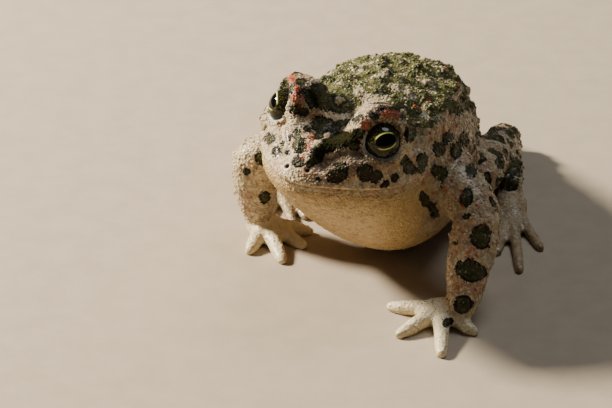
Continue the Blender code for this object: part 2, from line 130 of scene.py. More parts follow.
turn, tilt = math.radians(CAMERA_AZIMUTH), math.radians(CAMERA_ELEVATION)
VIEW_BACK = Vector((math.sin(turn) * math.cos(tilt), -math.cos(turn) * math.cos(tilt), math.sin(tilt)))
VIEW_RIGHT = Vector((math.cos(turn), math.sin(turn), 0))
VIEW_UP = VIEW_BACK.cross(VIEW_RIGHT)
eye_across = (LEFT_EYE_PIXEL[0] - PICTURE[0] / 2) / FOCAL_PIXELS * LEFT_EYE_DEPTH
eye_rise = (PICTURE[1] / 2 - LEFT_EYE_PIXEL[1]) / FOCAL_PIXELS * LEFT_EYE_DEPTH
CAMERA_PLACE = EYES[1] + VIEW_BACK * LEFT_EYE_DEPTH - VIEW_RIGHT * eye_across - VIEW_UP * eye_rise


def pixel_of(points):
    """Where points fall in the picture, as rows of across and down."""
    away = points - np.array(CAMERA_PLACE)
    depth = -(away @ np.array(VIEW_BACK))
    across = PICTURE[0] / 2 + FOCAL_PIXELS * (away @ np.array(VIEW_RIGHT)) / depth
    down = PICTURE[1] / 2 - FOCAL_PIXELS * (away @ np.array(VIEW_UP)) / depth
    return np.stack([across, down], axis=1)


def ray_through(across, down):
    right = (across - PICTURE[0] / 2) / FOCAL_PIXELS
    up = (PICTURE[1] / 2 - down) / FOCAL_PIXELS
    return (VIEW_RIGHT * right + VIEW_UP * up - VIEW_BACK).normalized()


lens = bpy.data.cameras.new("camera")
lens.sensor_width = SENSOR
lens.lens = SENSOR * FOCAL_PIXELS / PICTURE[0]
lens.clip_start = 0.01
lens.clip_end = 5.0
camera = bpy.data.objects.new("camera", lens)
bpy.context.scene.collection.objects.link(camera)
axes = Matrix((VIEW_RIGHT, VIEW_UP, VIEW_BACK)).transposed().to_4x4()
camera.matrix_world = Matrix.Translation(CAMERA_PLACE) @ axes
bpy.context.scene.camera = camera
print("lens mm:", round(lens.lens, 1))

# %% [markdown]
# Skin is one unbroken surface, while the solids are parted at every joint. A copy of each node
# of flesh is welded and swollen a little, so that neighbours run into each other over the gap.
# A ball fills each eye socket just under the eyeball, and a thick ring becomes the eyelids.

# %% Copies of the flesh
FLESH = [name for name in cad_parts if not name.startswith("eye_")]
SWELL = 0.2 * MM
SOCKET_FILL = 2.75 * MM
LID_PLANE = 1.55 * MM
LID_RING = 3.2 * MM
LID_TUBE = 0.3 * MM
LID_SHIFT = (0.58, 0.42)
UPPER_LID_FROM = 0.15
UPPER_LID_GAIN = 0.55
UPPER_LID_PUSH = 0.18
WELD = 0.002 * MM


def deselect():
    for other in bpy.context.selected_objects:
        other.select_set(False)


def pick(made):
    deselect()
    made.select_set(True)
    bpy.context.view_layer.objects.active = made


def add_object(name, data):
    made = bpy.data.objects.new(name, data)
    bpy.context.scene.collection.objects.link(made)
    return made


def flesh_copy(name):
    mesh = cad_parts[name].data.copy()
    bm = bmesh.new()
    bm.from_mesh(mesh)
    bmesh.ops.remove_doubles(bm, verts=bm.verts, dist=WELD)
    bm.normal_update()
    for vert, normal in [(vert, vert.normal.copy()) for vert in bm.verts]:
        vert.co += normal * SWELL
    bm.to_mesh(mesh)
    bm.free()
    mesh.materials.clear()
    return add_object("flesh_" + name, mesh)


def lid_ring(side):
    """The eyelids as a ring round the eye, thicker along its upper half."""
    axis = eye_axis(side)
    facing = axis.to_track_quat("Z", "Y")
    ahead = (FORWARD - axis * FORWARD.dot(axis)).normalized()
    above = (UPWARD - axis * UPWARD.dot(axis)).normalized()
    centre = EYES[side] + axis * LID_PLANE + (ahead * LID_SHIFT[0] + above * LID_SHIFT[1]) * MM
    bpy.ops.mesh.primitive_torus_add(
        location=centre,
        rotation=facing.to_euler(),
        major_radius=LID_RING,
        minor_radius=LID_TUBE,
        major_segments=48,
        minor_segments=12,
    )
    made = bpy.context.object
    pick(made)
    bpy.ops.object.transform_apply(location=True, rotation=True, scale=True)
    for vert in made.data.vertices:
        out = vert.co - centre
        radial = (out - axis * out.dot(axis)).normalized()
        core = centre + radial * LID_RING
        height = max(0.0, radial.dot(UPWARD) + UPPER_LID_FROM)
        push = radial * UPPER_LID_PUSH * MM * height
        vert.co = core + (vert.co - core) * (1 + UPPER_LID_GAIN * height) + push
    return made


pieces = [flesh_copy(name) for name in FLESH]
for side in (1, -1):
    pieces.append(lid_ring(side))
    bpy.ops.mesh.primitive_ico_sphere_add(subdivisions=4, radius=SOCKET_FILL, location=EYES[side])
    pick(bpy.context.object)
    bpy.ops.object.transform_apply(location=True, rotation=True, scale=True)
    pieces.append(bpy.context.object)
deselect()
for piece in pieces:
    piece.select_set(True)
skin = pieces[0]
bpy.context.view_layer.objects.active = skin
bpy.ops.object.join()
skin.name = skin.data.name = "toad_skin"
print("pieces joined:", len(pieces))

# %% [markdown]
# A voxel remesh makes the overlapping pieces one closed surface of even quads. The joints are
# still sharp steps, where a real toad has soft folds of muscle and skin. They are found as the
# places where two different nodes are both close by, and only those are smoothed hard, with the
# notch behind each brow, where the skin runs back into the neck.

# %% One surface, with soft joints
VOXEL = 0.38 * MM
JOINT_REACH = 1.5 * MM
JOINT_FULL = 0.4
JOINT_PASSES = 34
ALL_PASSES = 3
HEAD_BEHIND = -8.5
HEAD_BELOW = -12
HEAD_WEIGHT = 0.25
LEAST_WEIGHT = 0.01
AFAR = 1.0
NAPE = (6.4, -4.4, 0.8)
NAPE_REACH = 2.3


def apply_modifier(made, kind, name, **settings):
    modifier = made.modifiers.new(name, kind)
    for key, value in settings.items():
        setattr(modifier, key, value)
    pick(made)
    bpy.ops.object.modifier_apply(modifier=name)


def mesh_tree(made):
    bm = bmesh.new()
    bm.from_mesh(made.data)
    tree = BVHTree.FromBMesh(bm)
    bm.free()
    return tree


TREES = [mesh_tree(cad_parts[name]) for name in FLESH]
BOXES = [[np.array(corner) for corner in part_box(name)] for name in FLESH]


def node_distances(points, reach):
    """Each node's distance to the points near its box, and AFAR for all other points."""
    distances = np.full((len(FLESH), len(points)), AFAR)
    for row, (tree, (low, high)) in enumerate(zip(TREES, BOXES)):
        near = np.all((points > low - reach) & (points < high + reach), axis=1)
        for index in np.nonzero(near)[0]:
            distances[row, index] = tree.find_nearest(points[index])[3]
    return distances


def rows_of(items, key):
    values = np.zeros(len(items) * 3, np.float32)
    items.foreach_get(key, values)
    return values.reshape(-1, 3).astype(float)


def coordinates(made):
    return rows_of(made.data.vertices, "co")


def normals(made):
    return rows_of(made.data.vertex_normals, "vector")


def set_coordinates(made, points):
    made.data.vertices.foreach_set("co", points.astype(np.float32).ravel())
    made.data.update()


def lengths(rows):
    return np.linalg.norm(rows, axis=1)


def smooth_step(value, low, high):
    share = np.clip((value - low) / (high - low), 0, 1)
    return share * share * (3 - 2 * share)


apply_modifier(skin, "REMESH", "remesh", mode="VOXEL", voxel_size=VOXEL, use_smooth_shade=True)
points = coordinates(skin)
distances = node_distances(points, 2 * JOINT_REACH)
owner = np.argmin(distances, axis=0)
weight = 1 - smooth_step(np.sort(distances, axis=0)[1], JOINT_FULL * JOINT_REACH, JOINT_REACH)
head_space = head_coordinates(points)
in_head = (head_space[:, 1] > HEAD_BEHIND) & (head_space[:, 2] > HEAD_BELOW)
in_head &= owner != FLESH.index("torso")
weight = np.where(in_head, np.minimum(weight, HEAD_WEIGHT), weight)
for side in (1, -1):
    nape = np.array(head_point(NAPE[0] * side, *NAPE[1:]))
    away = lengths(points - nape) / MM
    weight = np.maximum(weight, np.exp(-((away / NAPE_REACH) ** 4)))
group = skin.vertex_groups.new(name="joints")
for index in np.nonzero(weight > LEAST_WEIGHT)[0]:
    group.add([int(index)], float(weight[index]), "REPLACE")
apply_modifier(skin, "SMOOTH", "soften", factor=0.5, iterations=JOINT_PASSES, vertex_group="joints")
apply_modifier(skin, "SMOOTH", "even", factor=0.45, iterations=ALL_PASSES)
print("skin vertices:", len(skin.data.vertices))

# %% [markdown]
# The face is seen closest and needs the finest mesh. Its quads are split once more, so that
# the line of the mouth, the nostrils and the lids can be carved into real geometry.

# %% A finer mesh on the face
FACE_BACK = -6.5
FACE_LOW = -8.0
FACE_HALF_WIDTH = 13


def refine(made, chosen):
    bm = bmesh.new()
    bm.from_mesh(made.data)
    bm.verts.ensure_lookup_table()
    edges = [edge for edge in bm.edges if chosen[edge.verts[0].index] and chosen[edge.verts[1].index]]
    bmesh.ops.subdivide_edges(bm, edges=edges, cuts=1, use_grid_fill=True, smooth=0.0)
    bm.to_mesh(made.data)
    bm.free()
    made.data.update()


head_space = head_coordinates(coordinates(skin))
face = (head_space[:, 1] > FACE_BACK) & (head_space[:, 2] > FACE_LOW)
face &= np.abs(head_space[:, 0]) < FACE_HALF_WIDTH
refine(skin, face)
apply_modifier(skin, "SMOOTH", "settle", factor=0.4, iterations=1)
print("skin vertices:", len(skin.data.vertices), "faces:", len(skin.data.polygons))

# %% [markdown]
# Sculpting by hand is done here with small rules. Each one moves the skin along its own
# normals by an amount that depends on a distance: to a plane for the mouth, to a line for the
# ridges, to a point for nostrils and warts. Lines and points are named where the picture shows
# them, and a ray from the camera finds the skin there.

# %% Helpers that carve the skin
MOUTH_FRONT = (0.0, 9.9, -4.1)
MOUTH_SLOPE = 9.9


def on_skin(tree, across, down):
    """The place and normal of the skin that shows at a pixel of the picture."""
    place, normal, face, distance = tree.ray_cast(CAMERA_PLACE, ray_through(across, down))
    return place, normal


def mirror_place(place):
    """The same place on the other side of the head."""
    away = place - HEAD_MIDDLE
    return place - LEFTWARD * 2 * away.dot(LEFTWARD)


def nearest(tree, place):
    found, normal, face, distance = tree.find_nearest(place)
    return found


def line_distance(points, line):
    """The distance of each point to a chain of straight pieces, in millimetres."""
    best = np.full(len(points), 1e9)
    for start, end in zip(line, line[1:]):
        first, step = np.array(start), np.array(end - start)
        share = np.clip(((points - first) @ step) / max(step @ step, 1e-18), 0, 1)
        away = points - first - share[:, None] * step
        best = np.minimum(best, lengths(away))
    return best / MM


def bell(distance, width):
    return np.exp(-((distance / width) ** 2))


def rib(distance, rise, place, width):
    """A rise that is highest where the distance has one value."""
    return rise * bell(distance - place, width)


def mouth_height(head_space):
    """How far above the line of the mouth, in millimetres."""
    slope = math.radians(MOUTH_SLOPE)
    rise = (head_space[:, 2] - MOUTH_FRONT[2]) * math.cos(slope)
    return rise - (head_space[:, 1] - MOUTH_FRONT[1]) * math.sin(slope)


# %% [markdown]
# The mouth of a toad is a long, thin line under an overhanging upper lip, and runs back to
# below the ear. A narrow groove makes the line, and the lip above it is pushed out a little.

# %% Mouth and lips
MOUTH_CORNER = (-3.6, -1.6)
LIP_GROOVE = (0.34, 0.17)
LIP_SWELL = (0.16, 0.55, 0.36)
JAW_TUCK = (0.16, -0.5, 0.45)
LIP_REACH = 3

points, out = coordinates(skin), normals(skin)
head_space = head_coordinates(points)
height = mouth_height(head_space)
mouth = smooth_step(head_space[:, 1], *MOUTH_CORNER) * (np.abs(height) < LIP_REACH)
push = -LIP_GROOVE[0] * bell(height, LIP_GROOVE[1])
push += rib(height, *LIP_SWELL)
push -= rib(height, *JAW_TUCK)
set_coordinates(skin, points + out * (push * mouth * MM)[:, None])
print("mouth vertices:", int((mouth > 0.5).sum()))

# %% [markdown]
# Between the raised brows the crown of the head sinks into a trough, and a pale ridge runs from
# the nostril over the eye. The trough is lowered straight down. The ridge, the hollow in front of
# the eye and the folds around it follow lines that the picture shows on the left, mirrored for
# the right.

# %% Trough and ridges of the head
TROUGH = (1.9, 2.3)
TROUGH_REACH = (-8.0, -4.0, 3.0, 6.5)
CROWN_FACING = (0.2, 0.6)
CROWN_LOW = -1.5
# Each line as its rise and width in millimetres and the pixels that it passes
FOLDS = {
    "ridge": (
        (0.32, 0.6),
        (311, 158), (318, 147), (331, 134), (347, 127.5), (361, 122), (370, 112), (384, 107.5),
        (399, 112), (408, 120),
    ),
    "under eye": ((0.12, 0.7), (352, 158), (366, 166), (382, 168), (397, 163)),
    "hollow": ((-1.0, 1.3), (321, 163), (331, 158), (342, 153), (352, 150), (358, 151)),
    "fold": ((0.16, 0.26), (399.5, 124), (402, 132), (402.5, 142), (401, 152), (397, 160)),
    "crease": ((-0.22, 0.3), (403.5, 124), (406, 133), (406.5, 143), (405, 152)),
}

points, out = coordinates(skin), normals(skin)
head_space = head_coordinates(points)
low, rising, falling, high = TROUGH_REACH
along = smooth_step(head_space[:, 1], low, rising) * (1 - smooth_step(head_space[:, 1], falling, high))
crown = along * smooth_step(out[:, 2], *CROWN_FACING) * (head_space[:, 2] > CROWN_LOW)
points[:, 2] -= TROUGH[0] * MM * bell(head_space[:, 0], TROUGH[1]) * crown
set_coordinates(skin, points)
tree = mesh_tree(skin)
points, out = coordinates(skin), normals(skin)
push = np.zeros(len(points))
found = 0
for (rise, width), *pixels in FOLDS.values():
    line = [on_skin(tree, *pixel)[0] for pixel in pixels]
    line = [place for place in line if place is not None]
    mirrored = [nearest(tree, mirror_place(place)) for place in line]
    found += len(line)
    for chain in (line, mirrored):
        push += rise * bell(line_distance(points, chain), width)
set_coordinates(skin, points + out * (push * MM)[:, None])
print("points on folds:", found)

# %% [markdown]
# Nostrils are small open pits with a raised rim, near the tip of the snout. The eardrum is a
# tall oval of thin, smooth skin behind the eye, slightly sunk inside a low ring.

# %% Nostrils and eardrums
NOSTRIL_PIXELS = ((307.5, 170.3), (287.0, 166.0))
NOSTRIL_PIT = (0.5, 0.26)
NOSTRIL_RIM = (0.08, 0.55, 0.2)
EARDRUM_PIXEL = (413.5, 149.0)
EARDRUM_RADII = (1.15, 1.6)
EARDRUM_DEPTH = 2.5
EARDRUM_SINK = 0.3
EARDRUM_EDGE = (-0.35, 0.0)
EARDRUM_RIM = (0.2, 0.15, 0.26)
FAR = 99.0

tree = mesh_tree(skin)
points, out = coordinates(skin), normals(skin)
push = np.zeros(len(points))
nostril_distance = np.full(len(points), FAR)
eardrum_distance = np.full(len(points), FAR)
for side, pixel in zip((1, -1), NOSTRIL_PIXELS):
    centre = on_skin(tree, *pixel)[0]
    away = lengths(points - np.array(centre)) / MM
    nostril_distance = np.minimum(nostril_distance, away)
    push -= NOSTRIL_PIT[0] * bell(away, NOSTRIL_PIT[1])
    push += rib(away, *NOSTRIL_RIM)
    seen = on_skin(tree, *EARDRUM_PIXEL)[0]
    centre = seen if side > 0 else nearest(tree, mirror_place(seen))
    offset = head_coordinates(points) - head_coordinates(np.array(centre)[None, :])
    oval = np.sqrt((offset[:, 1] / EARDRUM_RADII[0]) ** 2 + (offset[:, 2] / EARDRUM_RADII[1]) ** 2)
    close = np.abs(offset[:, 0]) < EARDRUM_DEPTH
    edge = np.where(close, (oval - 1) * EARDRUM_RADII[0], FAR)
    eardrum_distance = np.minimum(eardrum_distance, edge)
    push -= EARDRUM_SINK * (1 - smooth_step(edge, *EARDRUM_EDGE))
    push += rib(edge, *EARDRUM_RIM)
set_coordinates(skin, points + out * (push * MM)[:, None])
print("eardrum vertices:", int((eardrum_distance < 0).sum()))

# %% [markdown]
# Warts are round swellings of the skin, with the largest along the back, smaller ones on the
# flanks and limbs, and hardly any below. They could be separate domes, but then they would look
# stuck on, so the skin itself is raised. Their places are drawn one by one at random, and a
# place too near an earlier wart is dropped. A smoothed copy of the skin tells up from down.

# %% Warts
WART_SEED = 5
WARTS = 620
WART_TRIES = 16000
WART_RADII = (0.32, 0.95)
WART_SIZE = (0.75, 0.45)
WART_HEIGHT = 0.5
WART_SPACE = 1.15
WART_SKIRT = 1.6
CALM_PASSES = 30
THROAT_REACH = (-9.0, -5.0)
THROAT_EDGE = (0.15, -0.15)
BELLY_NORMAL = (-0.15, -0.6)
LIMB_BELLY_NORMAL = (-0.6, -0.95)
FACE_FADE = (-5.0, -2.0)
BELLY_WARTS = 0.3
FACE_WARTS = 0.5
RED_WARTS = 0.24
RED_WART_LEVEL = 0.75
RED_WART_SHARE = 0.34


def smoothed_copy(made, passes):
    """Coordinates and normals of the skin with its small forms smoothed away."""
    copy = add_object("calm", made.data.copy())
    apply_modifier(copy, "SMOOTH", "calm", factor=0.5, iterations=passes)
    calm = coordinates(copy), normals(copy)
    bpy.data.objects.remove(copy)
    return calm


def nearest_node(points):
    """The row of the node that each point lies on, or -1."""
    distances = node_distances(points, JOINT_REACH)
    return np.where(distances.min(axis=0) < AFAR, distances.argmin(axis=0), -1)


def on_nodes(owner, *starts):
    """Which points lie on the nodes whose names start so."""
    return np.isin(owner, [row for row, name in enumerate(FLESH) if name.startswith(starts)])


def underside(head_space, up, throat_edge):
    """How far each point is of the throat or belly, by its place and by how much it faces up."""
    throat = smooth_step(head_space[:, 1], *THROAT_REACH)
    throat = throat * smooth_step(mouth_height(head_space), *throat_edge)
    belly = np.maximum(throat, smooth_step(up, *BELLY_NORMAL))
    return np.where(limb_mask, smooth_step(up, *LIMB_BELLY_NORMAL), belly)


calm_out = smoothed_copy(skin, CALM_PASSES)[1]
points = coordinates(skin)
head_space = head_coordinates(points)
mouth_above = mouth_height(head_space)
owner = nearest_node(points)
paws = on_nodes(owner, "hand", "foot")
limb_mask = paws | on_nodes(owner, "upper_arm", "forearm", "thigh", "shank", "tarsus")
belly = underside(head_space, calm_out[:, 2], THROAT_EDGE)
face_front = smooth_step(head_space[:, 1], *FACE_FADE)
draw = random.Random(WART_SEED)
centres = np.zeros((0, 3))
radii = np.zeros(0)
push = np.zeros(len(points))
red_warts = []
candidates = np.nonzero((belly < BELLY_WARTS) & (face_front < FACE_WARTS) & ~paws)[0]
for _ in range(WART_TRIES):
    if len(radii) == WARTS:
        break
    index = candidates[draw.randrange(len(candidates))]
    radius = draw.uniform(*WART_RADII) * (WART_SIZE[0] + WART_SIZE[1] * calm_out[index, 2])
    place = points[index]
    away = lengths(centres - place) / MM
    if np.any(away < (radii + radius) * WART_SPACE):
        continue
    centres = np.vstack([centres, place])
    radii = np.append(radii, radius)
    if abs(calm_out[index, 2]) < RED_WART_LEVEL and draw.random() < RED_WARTS:
        red_warts.append((index, radius * RED_WART_SHARE))
for centre, radius in zip(centres, radii):
    away = lengths(points - centre) / MM
    near = away < radius * WART_SKIRT
    share = away[near] / radius
    push[near] = np.maximum(push[near], radius * WART_HEIGHT * np.exp(-(share**4)))
set_coordinates(skin, points + calm_out * (push * MM)[:, None])
print("warts:", len(radii))

# %% [markdown]
# The skin stands on the floor and stays inside the outline of the solids. Whatever came to lie
# under the floor is pressed flat against it, as soft flesh would be.

# %% Rest on the floor
FLOOR_GAP = 0.02 * MM
BOX_INSET = 0.03 * MM

points = coordinates(skin)
BOX_LOW, BOX_HIGH = np.array(cad_box[0]) + BOX_INSET, np.array(cad_box[1]) - BOX_INSET
BOX_LOW[2] = FLOOR_GAP
points = np.clip(points, BOX_LOW, BOX_HIGH)
set_coordinates(skin, points)
tree = mesh_tree(skin)
calm_points, calm_out = smoothed_copy(skin, CALM_PASSES)
print("lowest point mm:", round(float(points[:, 2].min()) / MM, 3))

# %% [markdown]
# Markings belong to the skin and not to a picture of it. Each spot is an oval on the skin, and
# every point of the skin keeps its distance to the nearest spot's edge, less than nothing
# inside. The material turns that one number into an olive middle, a black border and pale skin,
# and breaks the edge up with noise. Red patches, the painted shade of the face's hollows and the
# painted brown shade of the near cheek and the far brow are kept the same way. Those that the
# picture shows are named by their pixels.

# %% Spots that the picture shows
# Across, down, half width, half height and tilt in degrees, all in the picture
FACE_SPOTS = (
    (270, 138, 6.8, 4.6, -10), (276, 151, 4.8, 5.2, 20), (298.3, 162, 6, 5, 20),
    (299.4, 146, 6.8, 7.4, 10), (296.5, 134.5, 4.8, 5.6, 0), (317.8, 136.6, 4.4, 4.2, 0),
    (320.5, 124.5, 9.2, 7.2, 5), (327.5, 122, 6.5, 5, 0), (316.3, 154.5, 7.4, 9.2, 15),
    (323.5, 149.5, 6.5, 7.4, 20), (329.5, 144.5, 8, 8, -20), (337, 141, 7.5, 7.4, 0),
    (344.5, 139, 9, 7.4, -12), (353, 141.5, 6.4, 8, 0), (358.5, 133.5, 5.6, 4.4, -20),
    (310.2, 164, 4, 5, 25), (337.2, 176.3, 11, 6.6, -6),
    (339.5, 167.5, 4.6, 4.4, 0), (345, 168.5, 3.2, 4.4, 0), (365.3, 173, 6.8, 8.4, 5),
    (375.8, 177.2, 6.4, 5.8, 10), (319.3, 179.8, 2.1, 2.3, 0), (394.3, 178.6, 3, 4, 10),
    (384.5, 184.4, 4.6, 1.9, -28), (405.2, 161.5, 5.6, 6, 10), (409.6, 168, 6, 6.6, -10),
    (410.5, 133, 5.2, 8.6, 8), (405, 117.2, 4.4, 3.6, 10), (344.7, 122.6, 11.5, 3.2, -6),
    (373.4, 115.8, 4.6, 3.8, -15), (301.4, 81.6, 5.8, 3.6, 10), (310.8, 99.5, 5.2, 9.4, -20),
    # The spots of the trough between the brows, here and on the next two lines, are olive skin and also
    # painted shade of the trough
    (291.6, 88.4, 3.6, 3.6, 0), (293.6, 110, 3.2, 4, 0), (325.5, 101, 10.5, 9.5, 20),
    (338, 109.5, 8, 4.6, 25), (322.5, 88.5, 6.5, 5, 0), (315, 93, 5.5, 8.5, -15),
    (347, 107, 7.5, 4.4, 15), (304.5, 112, 3.6, 4, 0), (287.6, 96, 2, 5, 0),
    (336, 127.5, 6, 2.4, -20), (358, 118, 6.5, 2.6, -22), (290, 138, 2.2, 2.4, 0),
    (283, 143, 1.8, 1.8, 0), (288, 153, 1.6, 1.8, 0), (307, 129, 3.4, 2.8, 0),
    (381, 108, 5.6, 2.2, 0), (394.5, 109.6, 5.2, 2.6, 10),
    (305.5, 91.5, 3, 4.2, 10), (298.5, 105.5, 2.2, 2.8, 0), (300.5, 93.5, 1.8, 2.6, 0),
)
# Hollows of the face, painted nearly black as their shade
HOLLOW_SHADE_PLACES = (
    (320, 151, 8, 9.5, 15), (330, 144, 10, 8, -20), (344, 138, 13, 8, -12), (355, 137, 6.5, 8, 0),
    (314, 99, 4.2, 11.5, -22), (406.5, 132, 3, 9, 4),
)
# Painted brown shade on the near cheek and the far brow, where the rest of the face is cream
BROWN_SHADE_PLACES = (
    (327, 164, 11, 7.5, -8), (343, 158, 13, 7.5, -12), (356, 158, 7, 8.5, 0), (350, 168, 11, 6, 0),
    (372, 166, 10, 4, 8), (390, 165, 8, 5, -15), (300.5, 101, 6.5, 13, 8), (299, 84, 6.5, 5.5, 0),
)
BODY_SPOTS = (
    (421.7, 161, 5.5, 7.5, 0), (438, 149, 6.5, 7.5, 10), (439.5, 172, 7.5, 6.5, 20),
    (456, 150.6, 6, 8, -10), (470.5, 171.4, 5.2, 7.4, 0), (466.5, 196, 6, 9.6, 22),
    (486.5, 179, 4.6, 8.2, 10), (500.6, 163.6, 5.6, 6.2, 0), (433, 111, 8, 6, 15),
    (448.5, 138, 5.4, 6.4, 0), (464, 139.5, 5.6, 6.6, 0), (457, 107, 7, 6, 30),
    (425.5, 200, 4.6, 8.2, -28), (434, 210.5, 3.8, 6.6, -28), (481.4, 236.5, 10.4, 11.4, 0),
    (470.8, 270.4, 15.2, 10.8, 8), (463.6, 303.5, 9, 9.4, 0), (467.2, 216.8, 4.4, 2.5, 0),
    (448.5, 322, 4.8, 3.8, 0), (455, 243, 2.2, 2.2, 0), (421, 121, 5.2, 5, 0),
    (444.5, 92, 7.5, 4.6, 20), (421, 88, 8.5, 5.2, 0), (398, 96, 7, 4.4, 0),
    (262, 158, 7.2, 6.6, 0), (264.5, 197, 5.2, 6.2, 0), (247, 172, 3.6, 3, 0),
)
RED_PATCHES = (
    (390.8, 114.2, 9.6, 3.9, 4), (364.6, 125.2, 4.4, 4, -20), (291.2, 78.6, 4.2, 4.2, 0),
    (294, 99, 3.8, 4.4, 10), (311.6, 138.6, 2.7, 3.8, 0), (307.8, 149, 2.1, 7.4, 18),
    (303.4, 157.4, 1.8, 2.6, 10), (396.2, 133.5, 1, 4, -8), (296.2, 90, 2.6, 4.6, 8),
    (299.5, 105, 2.2, 3.6, 0), (301.5, 97.5, 1.8, 2.4, 0),
)
RED_DOTS = (
    (434, 129), (443, 131), (415, 107), (415, 122.5), (474, 249), (476, 255), (446, 190), (452, 195),
    (458, 200), (444, 196), (461, 192), (462, 206), (421, 108), (429, 100), (444, 125), (471, 155),
    (449, 160), (460, 162), (431, 139), (427, 173), (452, 181), (484, 224), (456, 253), (458, 287),
    (427, 190), (433, 193), (440, 190), (449, 203), (468, 253), (472, 259), (430, 133), (452, 128),
    (478, 258), (462, 232), (475, 290), (467, 185), (478, 205), (486, 165), (476, 140), (423, 183),
)
RED_DOT_RADIUS = 1.9
HEAD_SCALE = 7.5
OVAL_MARGIN = 2.2
LEAST_FACING = 0.35
NO_MARK = 9.0


def oval_distance(across, down, half_width, half_height):
    """Distance to the edge of an oval, near enough and less than nothing inside."""
    scaled = np.sqrt((across / half_width) ** 2 + (down / half_height) ** 2)
    slope = np.sqrt((across / half_width**2) ** 2 + (down / half_height**2) ** 2)
    return scaled * (scaled - 1) / np.maximum(slope, 1e-6)


def add_pixel_oval(field, oval):
    """Lowers the field to the distance from one oval of the picture, and says if it met skin."""
    across, down, half_width, half_height, tilt = oval
    place, normal = on_skin(tree, across, down)
    if place is None:
        return False
    reach = max(half_width, half_height) / HEAD_SCALE * OVAL_MARGIN * MM
    facing = max(LEAST_FACING, abs(normal.dot((CAMERA_PLACE - place).normalized())))
    away = points - np.array(place)
    near = np.nonzero(lengths(away) < reach / facing)[0]
    near = near[calm_out[near] @ np.array(normal) > 0.0]
    pixels = pixel_of(points[near])
    right, below = pixels[:, 0] - across, pixels[:, 1] - down
    cosine, sine = math.cos(math.radians(tilt)), math.sin(math.radians(tilt))
    turned = right * cosine + below * sine, -right * sine + below * cosine
    distance = oval_distance(*turned, half_width, half_height) / HEAD_SCALE
    field[near] = np.minimum(field[near], distance)
    return True


OVALS = {
    "spot": FACE_SPOTS + BODY_SPOTS,
    # Painted shade that makes the hollows of the face nearly black
    "hollow_shade": HOLLOW_SHADE_PLACES,
    # Painted brown shade on the near cheek and the far brow
    "brown_shade": BROWN_SHADE_PLACES,
    "red": RED_PATCHES + tuple((*dot, RED_DOT_RADIUS, RED_DOT_RADIUS, 0) for dot in RED_DOTS),
}
marks = {name: np.full(len(points), NO_MARK) for name in OVALS}
for name, ovals in OVALS.items():
    found = sum(add_pixel_oval(marks[name], oval) for oval in ovals)
    print(name, "ovals on the skin:", found, "of", len(ovals))
for index, radius in red_warts:
    away = lengths(points - points[index]) / MM
    marks["red"] = np.minimum(marks["red"], away - radius)

# %% [markdown]
# The rest of the toad is finished in the same style. Places are drawn at random over the upper
# skin that the named spots leave bare: large patches that nearly touch on the back, rounder and
# looser ones on the flanks, and small ones on the limbs. Belly, hands and feet are left bare.

# %% Spots on the other sides
SPOT_SEED = 21
SPOT_TRIES = 5200
BACK_RADII = (1.3, 2.9)
LIMB_RADII = (0.8, 1.8)
SPOT_SIZE = (0.72, 0.38)
SPOT_REACH = 2.6
SPOT_GAP = (0.05, 0.4)
LIMB_GAP_GAIN = 2.4
STRETCH = (0.7, 1.45)
CHEST_REACH = (-12.0, -8.0)
CHEST_EDGE = (1.0, -2.0)
SHARP_SIDE = 492.0
SHARP_TOP = 112.0
SHARP_FACE = -4.5
SHOWING = 0.6
NEAR_FACE = -7.0
TURNED_TOWARD = 0.1
TURNED_AWAY = -0.2
BELLY_SPOTS = 0.35
CHEST_SPOTS = 0.5
SPOT_OVERLAP = 0.8
SAME_SIDE = 0.2

draw = random.Random(SPOT_SEED)
toward = np.array(CAMERA_PLACE) - points
toward /= lengths(toward)[:, None]
facing = np.einsum("ij,ij->i", calm_out, toward)
head_space = head_coordinates(points)
chest = smooth_step(head_space[:, 1], *CHEST_REACH) * smooth_step(mouth_above, *CHEST_EDGE)
pixels = pixel_of(points)
in_view = (pixels[:, 0] < SHARP_SIDE) & (pixels[:, 1] > SHARP_TOP) & (facing > TURNED_TOWARD)
in_view |= (head_space[:, 1] > SHARP_FACE) & (facing > TURNED_AWAY)


def shows(index):
    """Whether a point of the skin is seen sharp in the picture, with nothing before it."""
    if not in_view[index]:
        return False
    across, down = pixels[index]
    place = on_skin(tree, across, down)[0]
    return place is not None and (place - Vector(points[index])).length < SHOWING * MM


near_face = (head_space[:, 1] > NEAR_FACE) & (facing > TURNED_AWAY)
candidates = np.nonzero((belly < BELLY_SPOTS) & (chest < CHEST_SPOTS) & ~paws & ~near_face)[0]
made_spots = 0
for _ in range(SPOT_TRIES):
    index = candidates[draw.randrange(len(candidates))]
    limb = limb_mask[index]
    radius = draw.uniform(*(LIMB_RADII if limb else BACK_RADII))
    radius *= SPOT_SIZE[0] + SPOT_SIZE[1] * max(0.0, calm_out[index, 2])
    gap = draw.uniform(*SPOT_GAP) * (LIMB_GAP_GAIN if limb else 1.0)
    stretch = draw.uniform(*STRETCH)
    angle = draw.uniform(0, math.pi)
    if marks["spot"][index] < radius * SPOT_OVERLAP + gap or shows(index):
        continue
    normal = Vector(calm_out[index])
    first = normal.orthogonal().normalized()
    second = normal.cross(first)
    one = first * math.cos(angle) + second * math.sin(angle)
    two = normal.cross(one)
    away = points - points[index]
    near = np.nonzero(lengths(away) < radius * SPOT_REACH * MM)[0]
    near = near[calm_out[near] @ np.array(normal) > SAME_SIDE]
    across, down = away[near] @ np.array(one) / MM, away[near] @ np.array(two) / MM
    distance = oval_distance(across, down, radius * stretch, radius / stretch)
    marks["spot"][near] = np.minimum(marks["spot"][near], distance)
    made_spots += 1
print("spots drawn:", made_spots)

# %% [markdown]
# Real spots have ragged, bulging edges. Two sizes of noise, read at each point of the skin,
# push the edge in and out. The numbers are then kept on the mesh as named attributes, where
# the materials find them, with others that tell the parts of the animal from each other.

